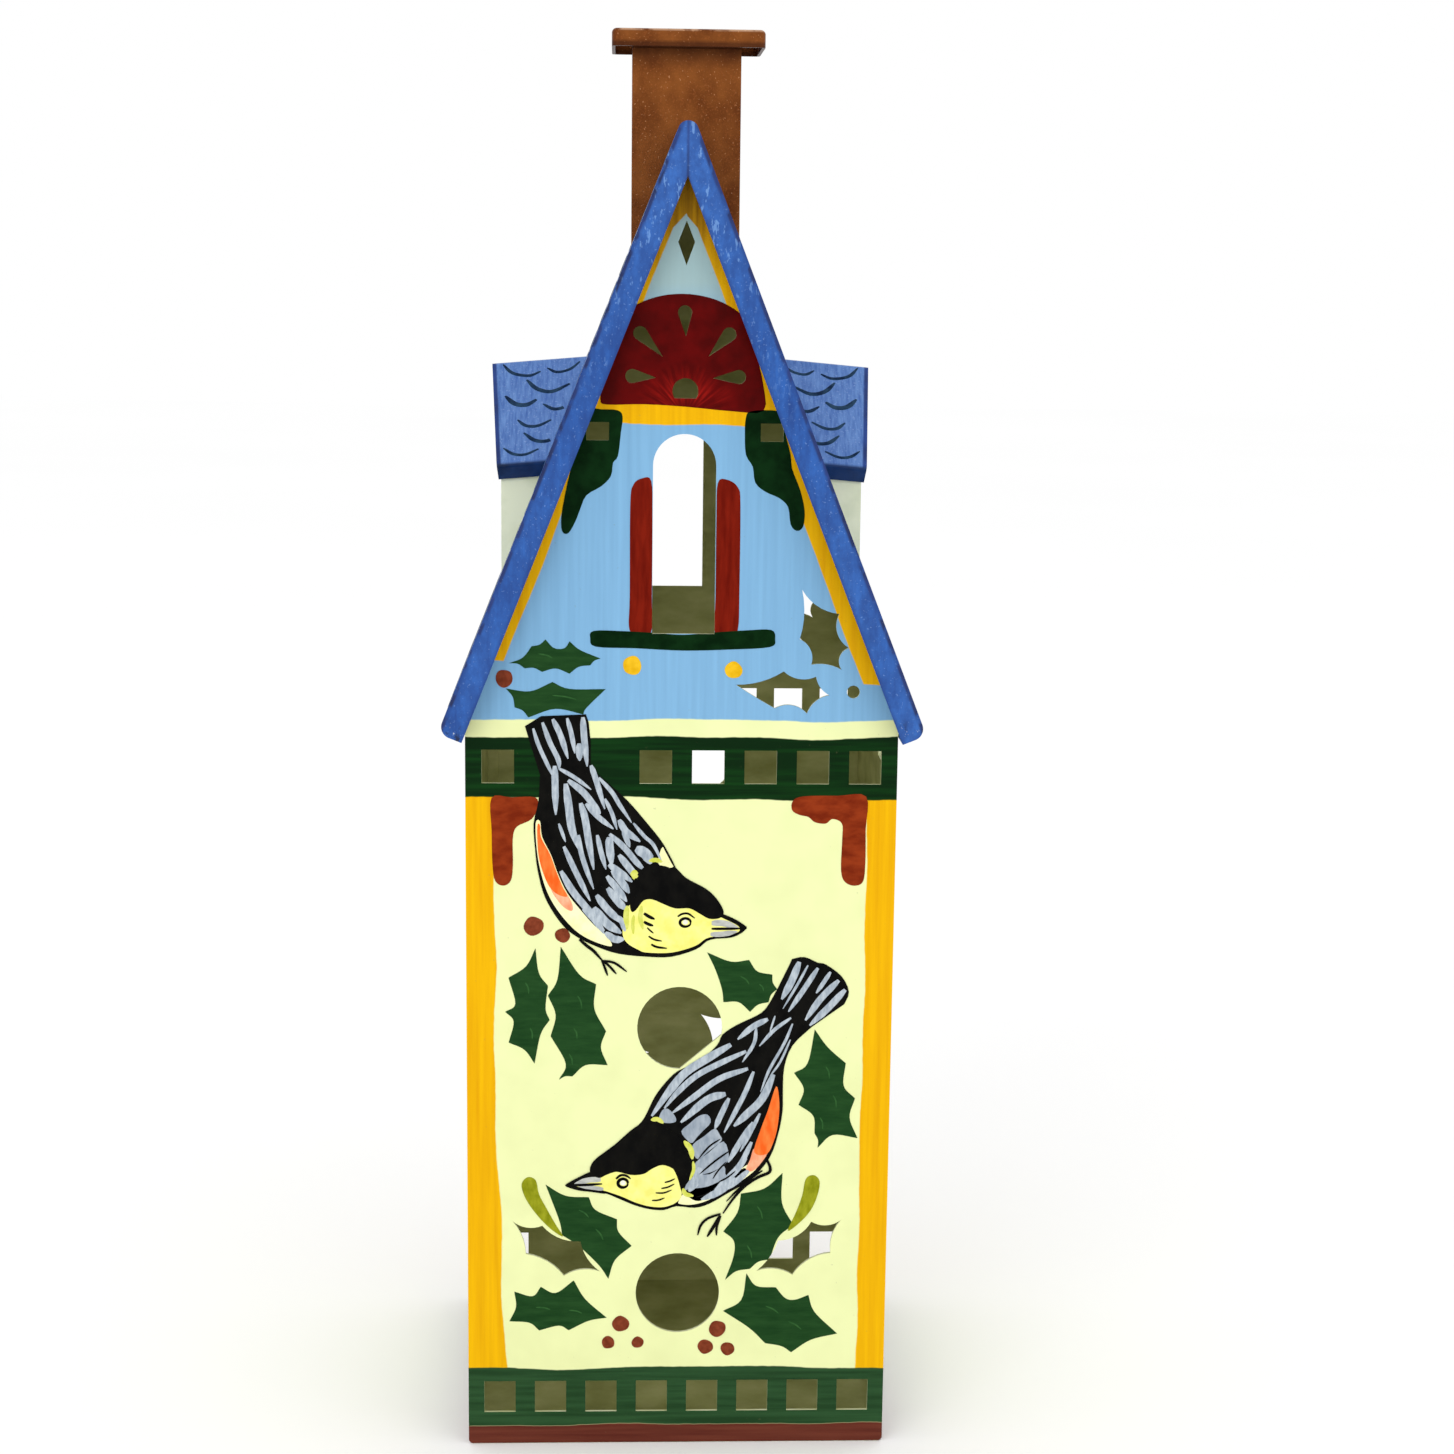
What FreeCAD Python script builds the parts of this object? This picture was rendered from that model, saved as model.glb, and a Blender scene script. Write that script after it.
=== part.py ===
"""Painted birdhouse of pierced and folded sheet metal, with a hinged clean-out door in its rear wall.

Frame: +Z up, +X to the right of the front wall, front wall towards -Y. The origin is on the ground
below the middle of the house. All sizes are in millimetres.
"""
import FreeCAD, Part
import math
import os

import Sketcher
from FreeCAD import Placement, Rotation, Vector

DIMENSIONS = (
    # walls and floor
    ("gauge", 1.0),
    ("body_width", 127.0),
    ("body_depth", 116.0),
    ("wall_top", 238.3),
    ("corner_round", 1.3),
    ("tab_width", 4.5),
    ("tab_foot", 8.0),
    ("floor_level", 6.0),
    ("floor_lip", 5.5),
    ("fit_gap", 0.1),
    # bands of pierced squares
    ("square_pitch", 15.417),
    ("square_width", 9.5),
    ("square_height", 10.0),
    ("lower_band", 15.1),
    ("upper_band", 211.4),
    ("rear_band_rise", 3.5),
    # round entrances and arched window
    ("entrance_radius", 12.7),
    ("upper_entrance", 132.0),
    ("lower_entrance", 48.4),
    ("window_half", 9.1),
    ("window_sill", 250.9),
    ("window_spring", 299.7),
    # main roof
    ("roof_peak", 401.2),
    ("roof_angle", 68.36),
    ("roof_reach", 70.9),
    ("roof_flange", 7.4),
    ("roof_overhang", 8.0),
    ("ridge_radius", 2.9),
    ("eave_radius", 3.5),
    # chimney
    ("chimney_width", 32.5),
    ("chimney_depth", 21.0),
    ("chimney_offset", 0.8),
    ("chimney_foot", 350.0),
    ("cap_width", 45.5),
    ("cap_depth", 34.0),
    ("cap_height", 5.2),
    ("cap_top", 425.3),
    ("cap_corner", 2.0),
    ("cap_rim", 1.4),
    ("cap_shift", 0.4),
    # dormers
    ("dormer_root", 29.4),
    ("dormer_ridge", 329.2),
    ("dormer_peak", 0.0),
    ("dormer_angle", 45.0),
    ("dormer_reach", 29.6),
    ("dormer_length", 28.6),
    ("dormer_flange", 6.5),
    ("dormer_bend", 1.5),
    ("dormer_hollow", 0.5),
    ("dormer_gap", 0.6),
    ("dormer_tail", 16.0),
    ("dormer_tilt", 5.0),
    ("dormer_face", 24.8),
    ("dormer_cheek", 23.9),
    ("dormer_foot", 68.0),
    ("dormer_window_half", 6.0),
    ("dormer_window_sill", 46.0),
    ("dormer_window_spring", 30.0),
    # clean-out door
    ("doorway_half", 34.0),
    ("doorway_foot", 31.0),
    ("doorway_top", 103.0),
    ("door_half", 40.0),
    ("door_foot", 25.5),
    ("door_top", 108.5),
    ("door_gap", 0.3),
    ("door_corner", 3.0),
    ("vent_radius", 8.8),
    ("vent_offset", 10.5),
    ("vent_height", 190.5),
    # hinges
    ("hinge_axis", 42.2),
    ("hinge_stand", 2.2),
    ("hinge_lower", 36.0),
    ("hinge_upper", 80.0),
    ("hinge_length", 18.0),
    ("hinge_reach", 13.2),
    ("hinge_inset", 2.2),
    ("leaf_gauge", 0.6),
    ("curl_gauge", 0.9),
    ("bore_length", 2.4),
    ("knuckle_radius", 1.7),
    ("knuckle_gap", 0.3),
    ("pin_radius", 0.8),
    ("pin_head_radius", 1.5),
    ("pin_head_height", 0.8),
    ("pin_crown_radius", 1.2),
    ("pin_peen_height", 0.4),
    ("running_gap", 0.05),
    # rivets
    ("rivet_reach", 10.7),
    ("rivet_spacing", 11.0),
    ("rivet_radius", 0.6),
    ("rivet_head_radius", 1.2),
    ("rivet_head_height", 0.6),
    ("rivet_peen_radius", 0.96),
    ("rivet_crown_radius", 0.84),
    # knob and turn button
    ("knob_offset", 29.0),
    ("knob_height", 67.0),
    ("knob_radius", 3.4),
    ("knob_length", 6.0),
    ("knob_neck", 1.5),
    ("knob_tail", 1.2),
    ("knob_peen_radius", 1.9),
    ("knob_peen_height", 1.6),
    ("knob_foot_radius", 2.25),
    ("knob_neck_height", 1.8),
    ("knob_shoulder_radius", 2.9),
    ("knob_shoulder_height", 2.7),
    ("knob_widest_height", 3.9),
    ("knob_crown_radius", 2.7),
    ("knob_crown_height", 5.4),
    ("knob_top_radius", 1.35),
    ("button_offset", 46.5),
    ("button_gauge", 0.8),
    ("button_half_width", 3.0),
    ("button_half_length", 11.0),
    ("button_collar", 2.2),
    ("button_peen", 2.0),
    ("button_crown", 1.55),
    ("button_end_round", 2.85),
    ("button_shank", 1.2),
)

EAVE_HEIGHT = "(dims.{0}_peak - dims.{0}_reach * tan(dims.{0}_angle))"

# Cut-outs, as (across, up) points on the panel. A holly leaf lists spike, hollow, spike, hollow ...
GABLE_LEAVES = (
    ((34.5, 264), (38.8, 259.4), (45.5, 257), (44.8, 252), (48.5, 247), (45.7, 244), (46.5, 240.5),
     (41.5, 242.2), (37.5, 242), (37.2, 246.5), (34, 249.5), (35.2, 256.5)),
    ((15.5, 236), (22.3, 236.8), (29.5, 240), (33.8, 237.8), (39, 238.5), (40.2, 235.4), (43, 233),
     (39, 231.2), (36.5, 227.5), (32.5, 229.9), (27, 229), (21.5, 232.2)),
)
GABLE_BERRY = (50.0, 234.0)
BERRY_RADIUS = 1.9
LOWER_LEAVES = (
    ((-50, 71.5), (-45.5, 69.4), (-41, 70), (-36.4, 66.3), (-29.5, 65), (-27.8, 60.2), (-23.5, 55.3),
     (-29, 56), (-34.5, 54), (-39.6, 58.7), (-46, 61), (-46.9, 66)),
    ((49.5, 71.5), (45, 69.8), (40.5, 71), (36.8, 66.9), (30.5, 65), (28.3, 60.2), (24, 55.3),
     (29.5, 56), (35, 54), (39.6, 58.7), (46.5, 61), (46.7, 66)),
)
DOOR_LEAVES = (
    ((10, 102.2), (15.5, 100.8), (21.5, 101), (23.7, 96.2), (29.5, 93), (28, 87.5), (30.5, 81.5),
     (25.5, 83.8), (20, 82.5), (19.6, 87.8), (14.5, 91.5), (13.4, 96.6)),
    ((-7.2, 88.4), (-12.2, 90.8), (-16.5, 95.5), (-21.5, 92.6), (-27.5, 94), (-27, 88.3), (-28.5, 83),
     (-24.1, 82.8), (-19, 79.5), (-13.9, 84.8)),
)
FAN_DROPS = (((0.0, 336.5), (-0.3, 343.3)), ((-6.5, 330.7), (-13.0, 337.3)), ((6.5, 330.9), (12.4, 337.2)),
             ((-8.4, 324.8), (-15.2, 325.2)), ((7.8, 324.8), (15.3, 325.2)))
DROP_RADIUS = 2.0
FAN_HUB = (0.0, 321.0)
FAN_HUB_RADIUS = 3.7
FAN_HUB_SILL = 2.0
DIAMOND = ((0.0, 369.0), (2.4, 363.0), (0.0, 356.5), (-2.4, 363.0))
SLOT_BOTTOM = 306.8
SLOT_TOP = 312.0
SLOT_NEAR = 21.8
SLOT_FAR = 28.3
BIRD_BACK_ANGLE = -9.3


doc = FreeCAD.newDocument("birdhouse")
sheet = doc.addObject("Spreadsheet::Sheet", "dims")


def fill_sheet():
    for row, (alias, value) in enumerate(DIMENSIONS, start=1):
        sheet.set("A%d" % row, alias)
        sheet.set("B%d" % row, str(value))
        sheet.setAlias("B%d" % row, alias)
    doc.recompute()


def dim(alias):
    return float(sheet.get(alias))


# ---------------------------------------------------------------- helpers for bodies and sketches

def bind(target, **expressions):
    """Bind properties to the sheet; a double underscore in a name stands for a dot."""
    for name, expression in expressions.items():
        target.setExpression(name.replace("__", "."), expression)


def new_body(label):
    body = doc.addObject("PartDesign::Body", label)
    body.Label = label
    return body


def origin_plane(body, role):
    return next(item for item in body.Origin.OriginFeatures if item.Role == role)


def new_sketch(body, name, role="XZ_Plane", offset=None):
    sketch = body.newObject("Sketcher::SketchObject", name)
    sketch.AttachmentSupport = [(origin_plane(body, role), "")]
    sketch.MapMode = "FlatFace"
    if offset:
        sketch.setExpression("AttachmentOffset.Base.z", offset)
    return sketch


def pin_point(sketch, edge, vertex, across, up):
    """Hold a sketch point at the place that two expressions give."""
    for kind, axis, expression in (("DistanceX", -2, across), ("DistanceY", -1, up)):
        if expression == "0":
            sketch.addConstraint(Sketcher.Constraint("PointOnObject", edge, vertex, axis))
            continue
        index = sketch.addConstraint(Sketcher.Constraint(kind, -1, 1, edge, vertex, 1.0))
        sketch.setExpression("Constraints[%d]" % index, expression)


def outline(sketch, corners):
    """Draw a closed outline of straight edges; each corner is a pair of expressions."""
    first = sketch.GeometryCount
    count = len(corners)
    turn = 2 * math.pi / count
    spots = [Vector(math.cos(turn * step), math.sin(turn * step), 0) * count for step in range(count)]
    for step in range(count):
        sketch.addGeometry(Part.LineSegment(spots[step], spots[(step + 1) % count]), False)
    for step in range(count):
        following = first + (step + 1) % count
        sketch.addConstraint(Sketcher.Constraint("Coincident", first + step, 2, following, 1))
    for step, (across, up) in enumerate(corners):
        pin_point(sketch, first + step, 1, across, up)


def rectangle(sketch, left, right, bottom, top):
    outline(sketch, ((left, bottom), (right, bottom), (right, top), (left, top)))


def circle(sketch, across, up, radius):
    index = sketch.addGeometry(Part.Circle(Vector(1, 1, 0), Vector(0, 0, 1), 1), False)
    pin_point(sketch, index, 3, across, up)
    size = sketch.addConstraint(Sketcher.Constraint("Radius", index, 1.0))
    sketch.setExpression("Constraints[%d]" % size, radius)


def pad(body, sketch, length, name, both_ways=False, backwards=False):
    feature = body.newObject("PartDesign::Pad", name)
    feature.Profile = sketch
    feature.setExpression("Length", length)
    feature.SideType = "Symmetric" if both_ways else "One side"
    feature.Reversed = backwards
    doc.recompute()
    return feature


def pocket(body, sketch, name, both_ways=False, backwards=True):
    """Cut right through the body and make sure that something was cut."""
    before = body.Shape.Volume
    feature = body.newObject("PartDesign::Pocket", name)
    feature.Profile = sketch
    feature.Type = "ThroughAll"
    feature.SideType = "Symmetric" if both_ways else "One side"
    feature.Reversed = backwards and not both_ways
    doc.recompute()
    if feature.Shape.Volume >= before:
        raise RuntimeError("%s cuts nothing from %s" % (name, body.Label))
    return feature


def row_of(body, feature, name, count, pitch):
    """Repeat a feature along the sketch's own horizontal direction."""
    pattern = body.newObject("PartDesign::LinearPattern", name)
    pattern.Originals = [feature]
    pattern.Direction = (feature.Profile[0], ["H_Axis"])
    pattern.setExpression("Length", "%d * %s" % (count - 1, pitch))
    pattern.Occurrences = count
    body.Tip = pattern
    doc.recompute()
    return pattern


def round_edges(body, wanted, radius, name):
    """Fillet the edges that wanted(edge) picks."""
    names = ["Edge%d" % (index + 1) for index, edge in enumerate(body.Shape.Edges) if wanted(edge)]
    base = body.Tip
    feature = body.newObject("PartDesign::Fillet", name)
    feature.Base = (base, names)
    feature.setExpression("Radius", radius)
    body.Tip = feature
    doc.recompute()
    return feature


def lies_along(edge, axis):
    direction = edge.Vertexes[-1].Point - edge.Vertexes[0].Point
    return direction.Length > 0 and abs(direction.normalize().dot(axis)) > 0.999


def is_at(edge, tolerance=0.02, **place):
    """True where the middle of an edge has the given coordinates, signs left out."""
    middle = edge.BoundBox.Center
    return all(abs(abs(getattr(middle, axis)) - abs(value)) < tolerance for axis, value in place.items())


def cut(label, base, tool):
    piece = doc.addObject("Part::Cut", label)
    piece.Label = label
    piece.Base = base
    piece.Tool = tool
    doc.recompute()
    return piece


def fuse(label, shapes):
    piece = doc.addObject("Part::MultiFuse", label)
    piece.Label = label
    piece.Shapes = shapes
    doc.recompute()
    return piece


def box(name, width, depth, height, across, along, up):
    """A block from its three sizes and its lowest corner, all given as expressions."""
    block = doc.addObject("Part::Box", name)
    bind(block, Length=width, Width=depth, Height=height)
    bind(block, Placement__Base__x=across, Placement__Base__y=along, Placement__Base__z=up)
    return block


def cylinder(name, radius, height, across, along, up):
    rod = doc.addObject("Part::Cylinder", name)
    bind(rod, Radius=radius, Height=height)
    bind(rod, Placement__Base__x=across, Placement__Base__y=along, Placement__Base__z=up)
    return rod


# ---------------------------------------------------------------- pierced cut-outs

def add_leaf(sketch, points):
    """A holly leaf: from spike to spike by an arc through the hollow between them."""
    spots = [Vector(across, up, 0) for across, up in points]
    for index in range(0, len(spots), 2):
        end = spots[(index + 2) % len(spots)]
        arc = Part.Arc(spots[index], spots[index + 1], end)
        sketch.addGeometry(arc, False)


def add_drop(sketch, tip, heart, radius):
    """A drop: two straight sides from the tip, tangent to a round end about the heart."""
    point = Vector(tip[0], tip[1], 0)
    centre = Vector(heart[0], heart[1], 0)
    reach = (centre - point).Length
    along = math.atan2(centre.y - point.y, centre.x - point.x)
    spread = math.acos(radius / reach)
    sides = [centre + Vector(math.cos(along + math.pi + turn), math.sin(along + math.pi + turn), 0) * radius
             for turn in (spread, -spread)]
    far = centre + Vector(math.cos(along), math.sin(along), 0) * radius
    sketch.addGeometry(Part.LineSegment(point, sides[0]), False)
    sketch.addGeometry(Part.Arc(sides[0], far, sides[1]), False)
    sketch.addGeometry(Part.LineSegment(sides[1], point), False)


def add_arc_with_chord(sketch, centre, radius, start, end):
    """A round hole that stops at a straight chord; angles in degrees."""
    middle = Vector(centre[0], centre[1], 0)
    first, half, last = (
        middle + Vector(math.cos(math.radians(angle)), math.sin(math.radians(angle)), 0) * radius
        for angle in (start, (start + end) / 2, end))
    sketch.addGeometry(Part.Arc(first, half, last), False)
    sketch.addGeometry(Part.LineSegment(last, first), False)


def add_polygon(sketch, points):
    spots = [Vector(across, up, 0) for across, up in points]
    for index, spot in enumerate(spots):
        sketch.addGeometry(Part.LineSegment(spot, spots[(index + 1) % len(spots)]), False)


def pierce_squares(body, name, first, count, height):
    """Cut count squares in a row, first being the place of the leftmost one in the band of eight."""
    sketch = new_sketch(body, name + "_sketch")
    start = "(%g * dims.square_pitch)" % (first - 3.5)
    half = "dims.square_width / 2"
    rectangle(sketch, "%s - %s" % (start, half), "%s + %s" % (start, half),
              "%s - dims.square_height / 2" % height, "%s + dims.square_height / 2" % height)
    feature = pocket(body, sketch, name)
    if count > 1:
        row_of(body, feature, name + "_row", count, "dims.square_pitch")


def pierce_arch(body, name, half, sill, spring):
    """Cut an arched opening: a slot with a round head."""
    slot = new_sketch(body, name + "_slot_sketch")
    rectangle(slot, "-%s" % half, half, sill, spring)
    pocket(body, slot, name + "_slot")
    head = new_sketch(body, name + "_head_sketch")
    circle(head, "0", spring, half)
    pocket(body, head, name + "_head")


def pierce_round(body, name, across, up, radius):
    sketch = new_sketch(body, name + "_sketch")
    circle(sketch, across, up, radius)
    pocket(body, sketch, name)


def pierce_gable(body):
    """The cut-outs that the front and rear gables share."""
    pierce_arch(body, "window", "dims.window_half", "dims.window_sill", "dims.window_spring")
    slots = new_sketch(body, "slots_sketch")
    for side in (-1, 1):
        add_polygon(slots, ((side * SLOT_NEAR, SLOT_BOTTOM), (side * SLOT_FAR, SLOT_BOTTOM),
                            (side * SLOT_FAR, SLOT_TOP), (side * SLOT_NEAR, SLOT_TOP)))
    pocket(body, slots, "slots")
    leaves = new_sketch(body, "gable_leaves_sketch")
    for points in GABLE_LEAVES:
        add_leaf(leaves, points)
    pocket(body, leaves, "gable_leaves")


def pierce_fan(body):
    """The fanlight of five drops about a hub, the diamond over it, and the berry by the leaves."""
    fan = new_sketch(body, "fan_sketch")
    for tip, heart in FAN_DROPS:
        add_drop(fan, tip, heart, DROP_RADIUS)
    chord = math.degrees(math.asin(FAN_HUB_SILL / FAN_HUB_RADIUS))
    add_arc_with_chord(fan, FAN_HUB, FAN_HUB_RADIUS, -chord, 180 + chord)
    add_polygon(fan, DIAMOND)
    berry = Vector(GABLE_BERRY[0], GABLE_BERRY[1], 0)
    fan.addGeometry(Part.Circle(berry, Vector(0, 0, 1), BERRY_RADIUS))
    pocket(body, fan, "fan")


# ---------------------------------------------------------------- walls and floor

def gabled_blank(label, inner_face):
    """A flat gabled sheet whose rear face stands at inner_face and whose edge follows the roof."""
    body = new_body(label)
    body.setExpression("Placement.Base.y", inner_face)
    sketch = new_sketch(body, "blank_sketch")
    half = "dims.body_width / 2"
    top = "dims.roof_peak - (dims.gauge + dims.fit_gap) / cos(dims.roof_angle)"
    shoulder = "%s - %s * tan(dims.roof_angle)" % (top, half)
    outline(sketch, (("-" + half, "0"), (half, "0"), (half, shoulder), ("0", top), ("-" + half, shoulder)))
    pad(body, sketch, "dims.gauge", "blank")
    peak = body.Shape.BoundBox.ZMax
    across = Vector(0, 1, 0)
    round_edges(body, lambda edge: lies_along(edge, across) and is_at(edge, z=peak),
                "dims.ridge_radius - dims.gauge - dims.fit_gap", "peak_round")
    round_edges(body, lambda edge: lies_along(edge, across) and is_at(edge, z=0),
                "dims.corner_round", "foot_round")
    return body


def front_panel():
    body = gabled_blank("front_panel", "-dims.body_depth / 2 + dims.gauge")
    pierce_gable(body)
    pierce_fan(body)
    pierce_squares(body, "lower_band", 0, 8, "dims.lower_band")
    pierce_squares(body, "upper_band_corner", 0, 1, "dims.upper_band")
    pierce_squares(body, "upper_band", 3, 5, "dims.upper_band")
    pierce_round(body, "lower_entrance", "0", "dims.lower_entrance", "dims.entrance_radius")
    entrance = new_sketch(body, "upper_entrance_sketch")
    add_arc_with_chord(entrance, (0.0, dim("upper_entrance")), dim("entrance_radius"), BIRD_BACK_ANGLE, 270)
    pocket(body, entrance, "upper_entrance")
    leaves = new_sketch(body, "lower_leaves_sketch")
    for points in LOWER_LEAVES:
        add_leaf(leaves, points)
    pocket(body, leaves, "lower_leaves")
    return body


def rear_panel():
    body = gabled_blank("rear_panel", "dims.body_depth / 2")
    pierce_gable(body)
    pierce_squares(body, "lower_band_corner", 0, 1, "(dims.lower_band + dims.rear_band_rise)")
    pierce_squares(body, "lower_band", 6, 2, "(dims.lower_band + dims.rear_band_rise)")
    pierce_squares(body, "upper_band", 0, 8, "dims.upper_band")
    pierce_round(body, "vent", "dims.vent_offset", "dims.vent_height", "dims.vent_radius")
    doorway = new_sketch(body, "doorway_sketch")
    rectangle(doorway, "-dims.doorway_half", "dims.doorway_half", "dims.doorway_foot", "dims.doorway_top")
    pocket(body, doorway, "doorway")
    holes = new_sketch(body, "rivet_holes_sketch")
    for up in hinge_rivet_heights():
        circle(holes, "-dims.hinge_axis - dims.rivet_reach", up, "dims.rivet_radius")
    circle(holes, "dims.button_offset", "dims.knob_height", "dims.button_shank")
    pocket(body, holes, "rivet_holes")
    return body


def side_panel(label, side):
    """A side wall with a tab folded in behind the front panel and another in front of the rear one."""
    body = new_body(label)
    profile = new_sketch(body, "fold_sketch", "XY_Plane")
    out = "%d * dims.body_width / 2" % side
    skin = "%d * (dims.body_width / 2 - dims.gauge)" % side
    lip = "%d * (dims.body_width / 2 - dims.tab_width)" % side
    end = "(dims.body_depth / 2 - dims.gauge)"
    inner = "(dims.body_depth / 2 - 2 * dims.gauge)"
    outline(profile, ((out, "-" + end), (out, end), (lip, end), (lip, inner),
                      (skin, inner), (skin, "-" + inner), (lip, "-" + inner), (lip, "-" + end)))
    pad(body, profile, "dims.wall_top", "fold")
    upright = Vector(0, 0, 1)
    half = dim("body_width") / 2
    fold = dim("body_depth") / 2 - dim("gauge")
    round_edges(body, lambda edge: lies_along(edge, upright) and is_at(edge, x=half, y=fold),
                "dims.corner_round", "fold_round")
    relief = new_sketch(body, "relief_sketch", "XZ_Plane")
    rectangle(relief, lip, skin, "0", "dims.tab_foot")
    pocket(body, relief, "relief", both_ways=True)
    for name, height in (("lower_band", "dims.lower_band"), ("upper_band", "dims.upper_band")):
        sketch = new_sketch(body, name + "_sketch", "YZ_Plane")
        start = "(-3 * dims.square_pitch)"
        rectangle(sketch, "%s - dims.square_width / 2" % start, "%s + dims.square_width / 2" % start,
                  "%s - dims.square_height / 2" % height, "%s + dims.square_height / 2" % height)
        feature = pocket(body, sketch, name, both_ways=True)
        row_of(body, feature, name + "_row", 7, "dims.square_pitch")
    return body


def floor_pan():
    """A tray turned upside down between the walls; its lips are fixed to them."""
    body = new_body("floor_pan")
    body.setExpression("Placement.Base.z", "dims.floor_level")
    half = "(dims.body_width / 2 - dims.gauge)"
    end = "(dims.body_depth / 2 - dims.gauge)"
    tray = new_sketch(body, "tray_sketch", "XY_Plane")
    rectangle(tray, "-" + half, half, "-" + end, end)
    pad(body, tray, "dims.floor_lip", "tray", backwards=True)
    hollow = new_sketch(body, "hollow_sketch", "XY_Plane", "-dims.gauge")
    inner = "(dims.body_width / 2 - 2 * dims.gauge)"
    inner_end = "(dims.body_depth / 2 - 2 * dims.gauge)"
    rectangle(hollow, "-" + inner, inner, "-" + inner_end, inner_end)
    pocket(body, hollow, "hollow", backwards=False)
    return body


# ---------------------------------------------------------------- roofs

def eave_section(name):
    """Corners of one half of a folded roof: slope, eave and the flange turned in at right angles."""
    eave = EAVE_HEIGHT.format(name)
    edge = "dims.%s_reach" % name
    lean = "sin(dims.%s_angle)" % name
    drop = "cos(dims.%s_angle)" % name
    flange = "dims.%s_flange" % name
    outer = (edge, eave)
    tip = ("%s - %s * %s" % (edge, flange, lean), "%s - %s * %s" % (eave, flange, drop))
    heel = ("%s - dims.gauge * %s" % (tip[0], drop), "%s + dims.gauge * %s" % (tip[1], lean))
    inner = ("%s - dims.gauge * (%s + %s)" % (edge, lean, drop),
             "%s + dims.gauge * (%s - %s)" % (eave, lean, drop))
    return outer, tip, heel, inner


def mirrored(corners):
    """The same corners on the other side, in reverse order, so that the outline goes on round."""
    return [("-(%s)" % across, up) for across, up in reversed(corners)]


def folded_roof(label, name, length, flange_faces, outer_radius, inner_radius, eave_round):
    """A sheet folded over a ridge along Y, with turned-in eaves and a flange on each named gable."""
    body = new_body(label)
    section = new_sketch(body, "section_sketch", offset=length[0])
    half = list(eave_section(name))
    peak = "dims.%s_peak" % name
    under = "%s - dims.gauge / cos(dims.%s_angle)" % (peak, name)
    outline(section, [("0", peak)] + half + [("0", under)] + mirrored(half))
    pad(body, section, length[1], "sheet", backwards=True)
    inner_peak = "%s - dims.%s_flange / cos(dims.%s_angle)" % (peak, name, name)
    for number, face in enumerate(flange_faces):
        flange = new_sketch(body, "flange_sketch_%d" % number, offset=face)
        outline(flange, [("0", peak)] + half[:2] + [("0", inner_peak)] + mirrored(half[:2]))
        pad(body, flange, "dims.gauge", "flange_%d" % number, backwards=True)
    along = Vector(0, 1, 0)
    top = body.Shape.BoundBox.ZMax
    low = top - dim("gauge") / math.cos(math.radians(dim(name + "_angle")))
    reach = dim(name + "_reach")
    round_edges(body, lambda edge: lies_along(edge, along) and is_at(edge, x=0, z=top),
                outer_radius, "ridge_round")
    round_edges(body, lambda edge: lies_along(edge, along) and is_at(edge, x=0, z=low),
                inner_radius, "ridge_hollow")
    round_edges(body, lambda edge: lies_along(edge, along) and is_at(edge, x=reach),
                eave_round, "eave_bend")
    return body


def main_roof():
    end = "(dims.body_depth / 2 + dims.roof_overhang)"
    return folded_roof("roof", "roof", (end, "2 * " + end), (end, "-%s + dims.gauge" % end),
                       "dims.ridge_radius", "dims.ridge_radius - dims.gauge", "dims.eave_radius")


def roof_envelope():
    """The space that the main roof fills, down to its eaves: what stands on the roof is cut to it."""
    body = new_body("roof_envelope")
    sketch = new_sketch(body, "envelope_sketch")
    foot = "dims.roof_peak - dims.body_width * tan(dims.roof_angle)"
    outline(sketch, (("-dims.body_width", foot), ("dims.body_width", foot), ("0", "dims.roof_peak")))
    pad(body, sketch, "2 * dims.body_depth", "wedge", both_ways=True)
    top = body.Shape.BoundBox.ZMax
    round_edges(body, lambda edge: lies_along(edge, Vector(0, 1, 0)) and is_at(edge, z=top),
                "dims.ridge_radius", "ridge_round")
    return body


def chimney_shaft(envelope):
    """A square tube that stands astride the ridge and runs up to the cap's plate."""
    height = "dims.cap_top - dims.gauge - dims.chimney_foot"
    tube = box("shaft_outside", "dims.chimney_width", "dims.chimney_depth", height,
               "dims.chimney_offset - dims.chimney_width / 2", "-dims.chimney_depth / 2",
               "dims.chimney_foot")
    flue = box("shaft_inside", "dims.chimney_width - 2 * dims.gauge",
               "dims.chimney_depth - 2 * dims.gauge", height,
               "dims.chimney_offset - dims.chimney_width / 2 + dims.gauge",
               "dims.gauge - dims.chimney_depth / 2", "dims.chimney_foot")
    return cut("chimney_shaft", cut("shaft_tube", tube, flue), envelope)


def chimney_cap():
    """A shallow tray turned over the shaft."""
    body = new_body("chimney_cap")
    bind(body, Placement__Base__x="dims.chimney_offset + dims.cap_shift", Placement__Base__z="dims.cap_top")
    plate = new_sketch(body, "plate_sketch", "XY_Plane")
    rectangle(plate, "-dims.cap_width / 2", "dims.cap_width / 2",
              "-dims.cap_depth / 2", "dims.cap_depth / 2")
    pad(body, plate, "dims.cap_height", "plate", backwards=True)
    upright = Vector(0, 0, 1)
    round_edges(body, lambda edge: lies_along(edge, upright), "dims.cap_corner", "corner_round")
    top = dim("cap_top")
    round_edges(body, lambda edge: is_at(edge, z=top), "dims.cap_rim", "rim_round")
    hollow = new_sketch(body, "hollow_sketch", "XY_Plane", "-dims.gauge")
    rectangle(hollow, "dims.gauge - dims.cap_width / 2", "dims.cap_width / 2 - dims.gauge",
              "dims.gauge - dims.cap_depth / 2", "dims.cap_depth / 2 - dims.gauge")
    pocket(body, hollow, "hollow", backwards=False)
    return body


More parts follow.
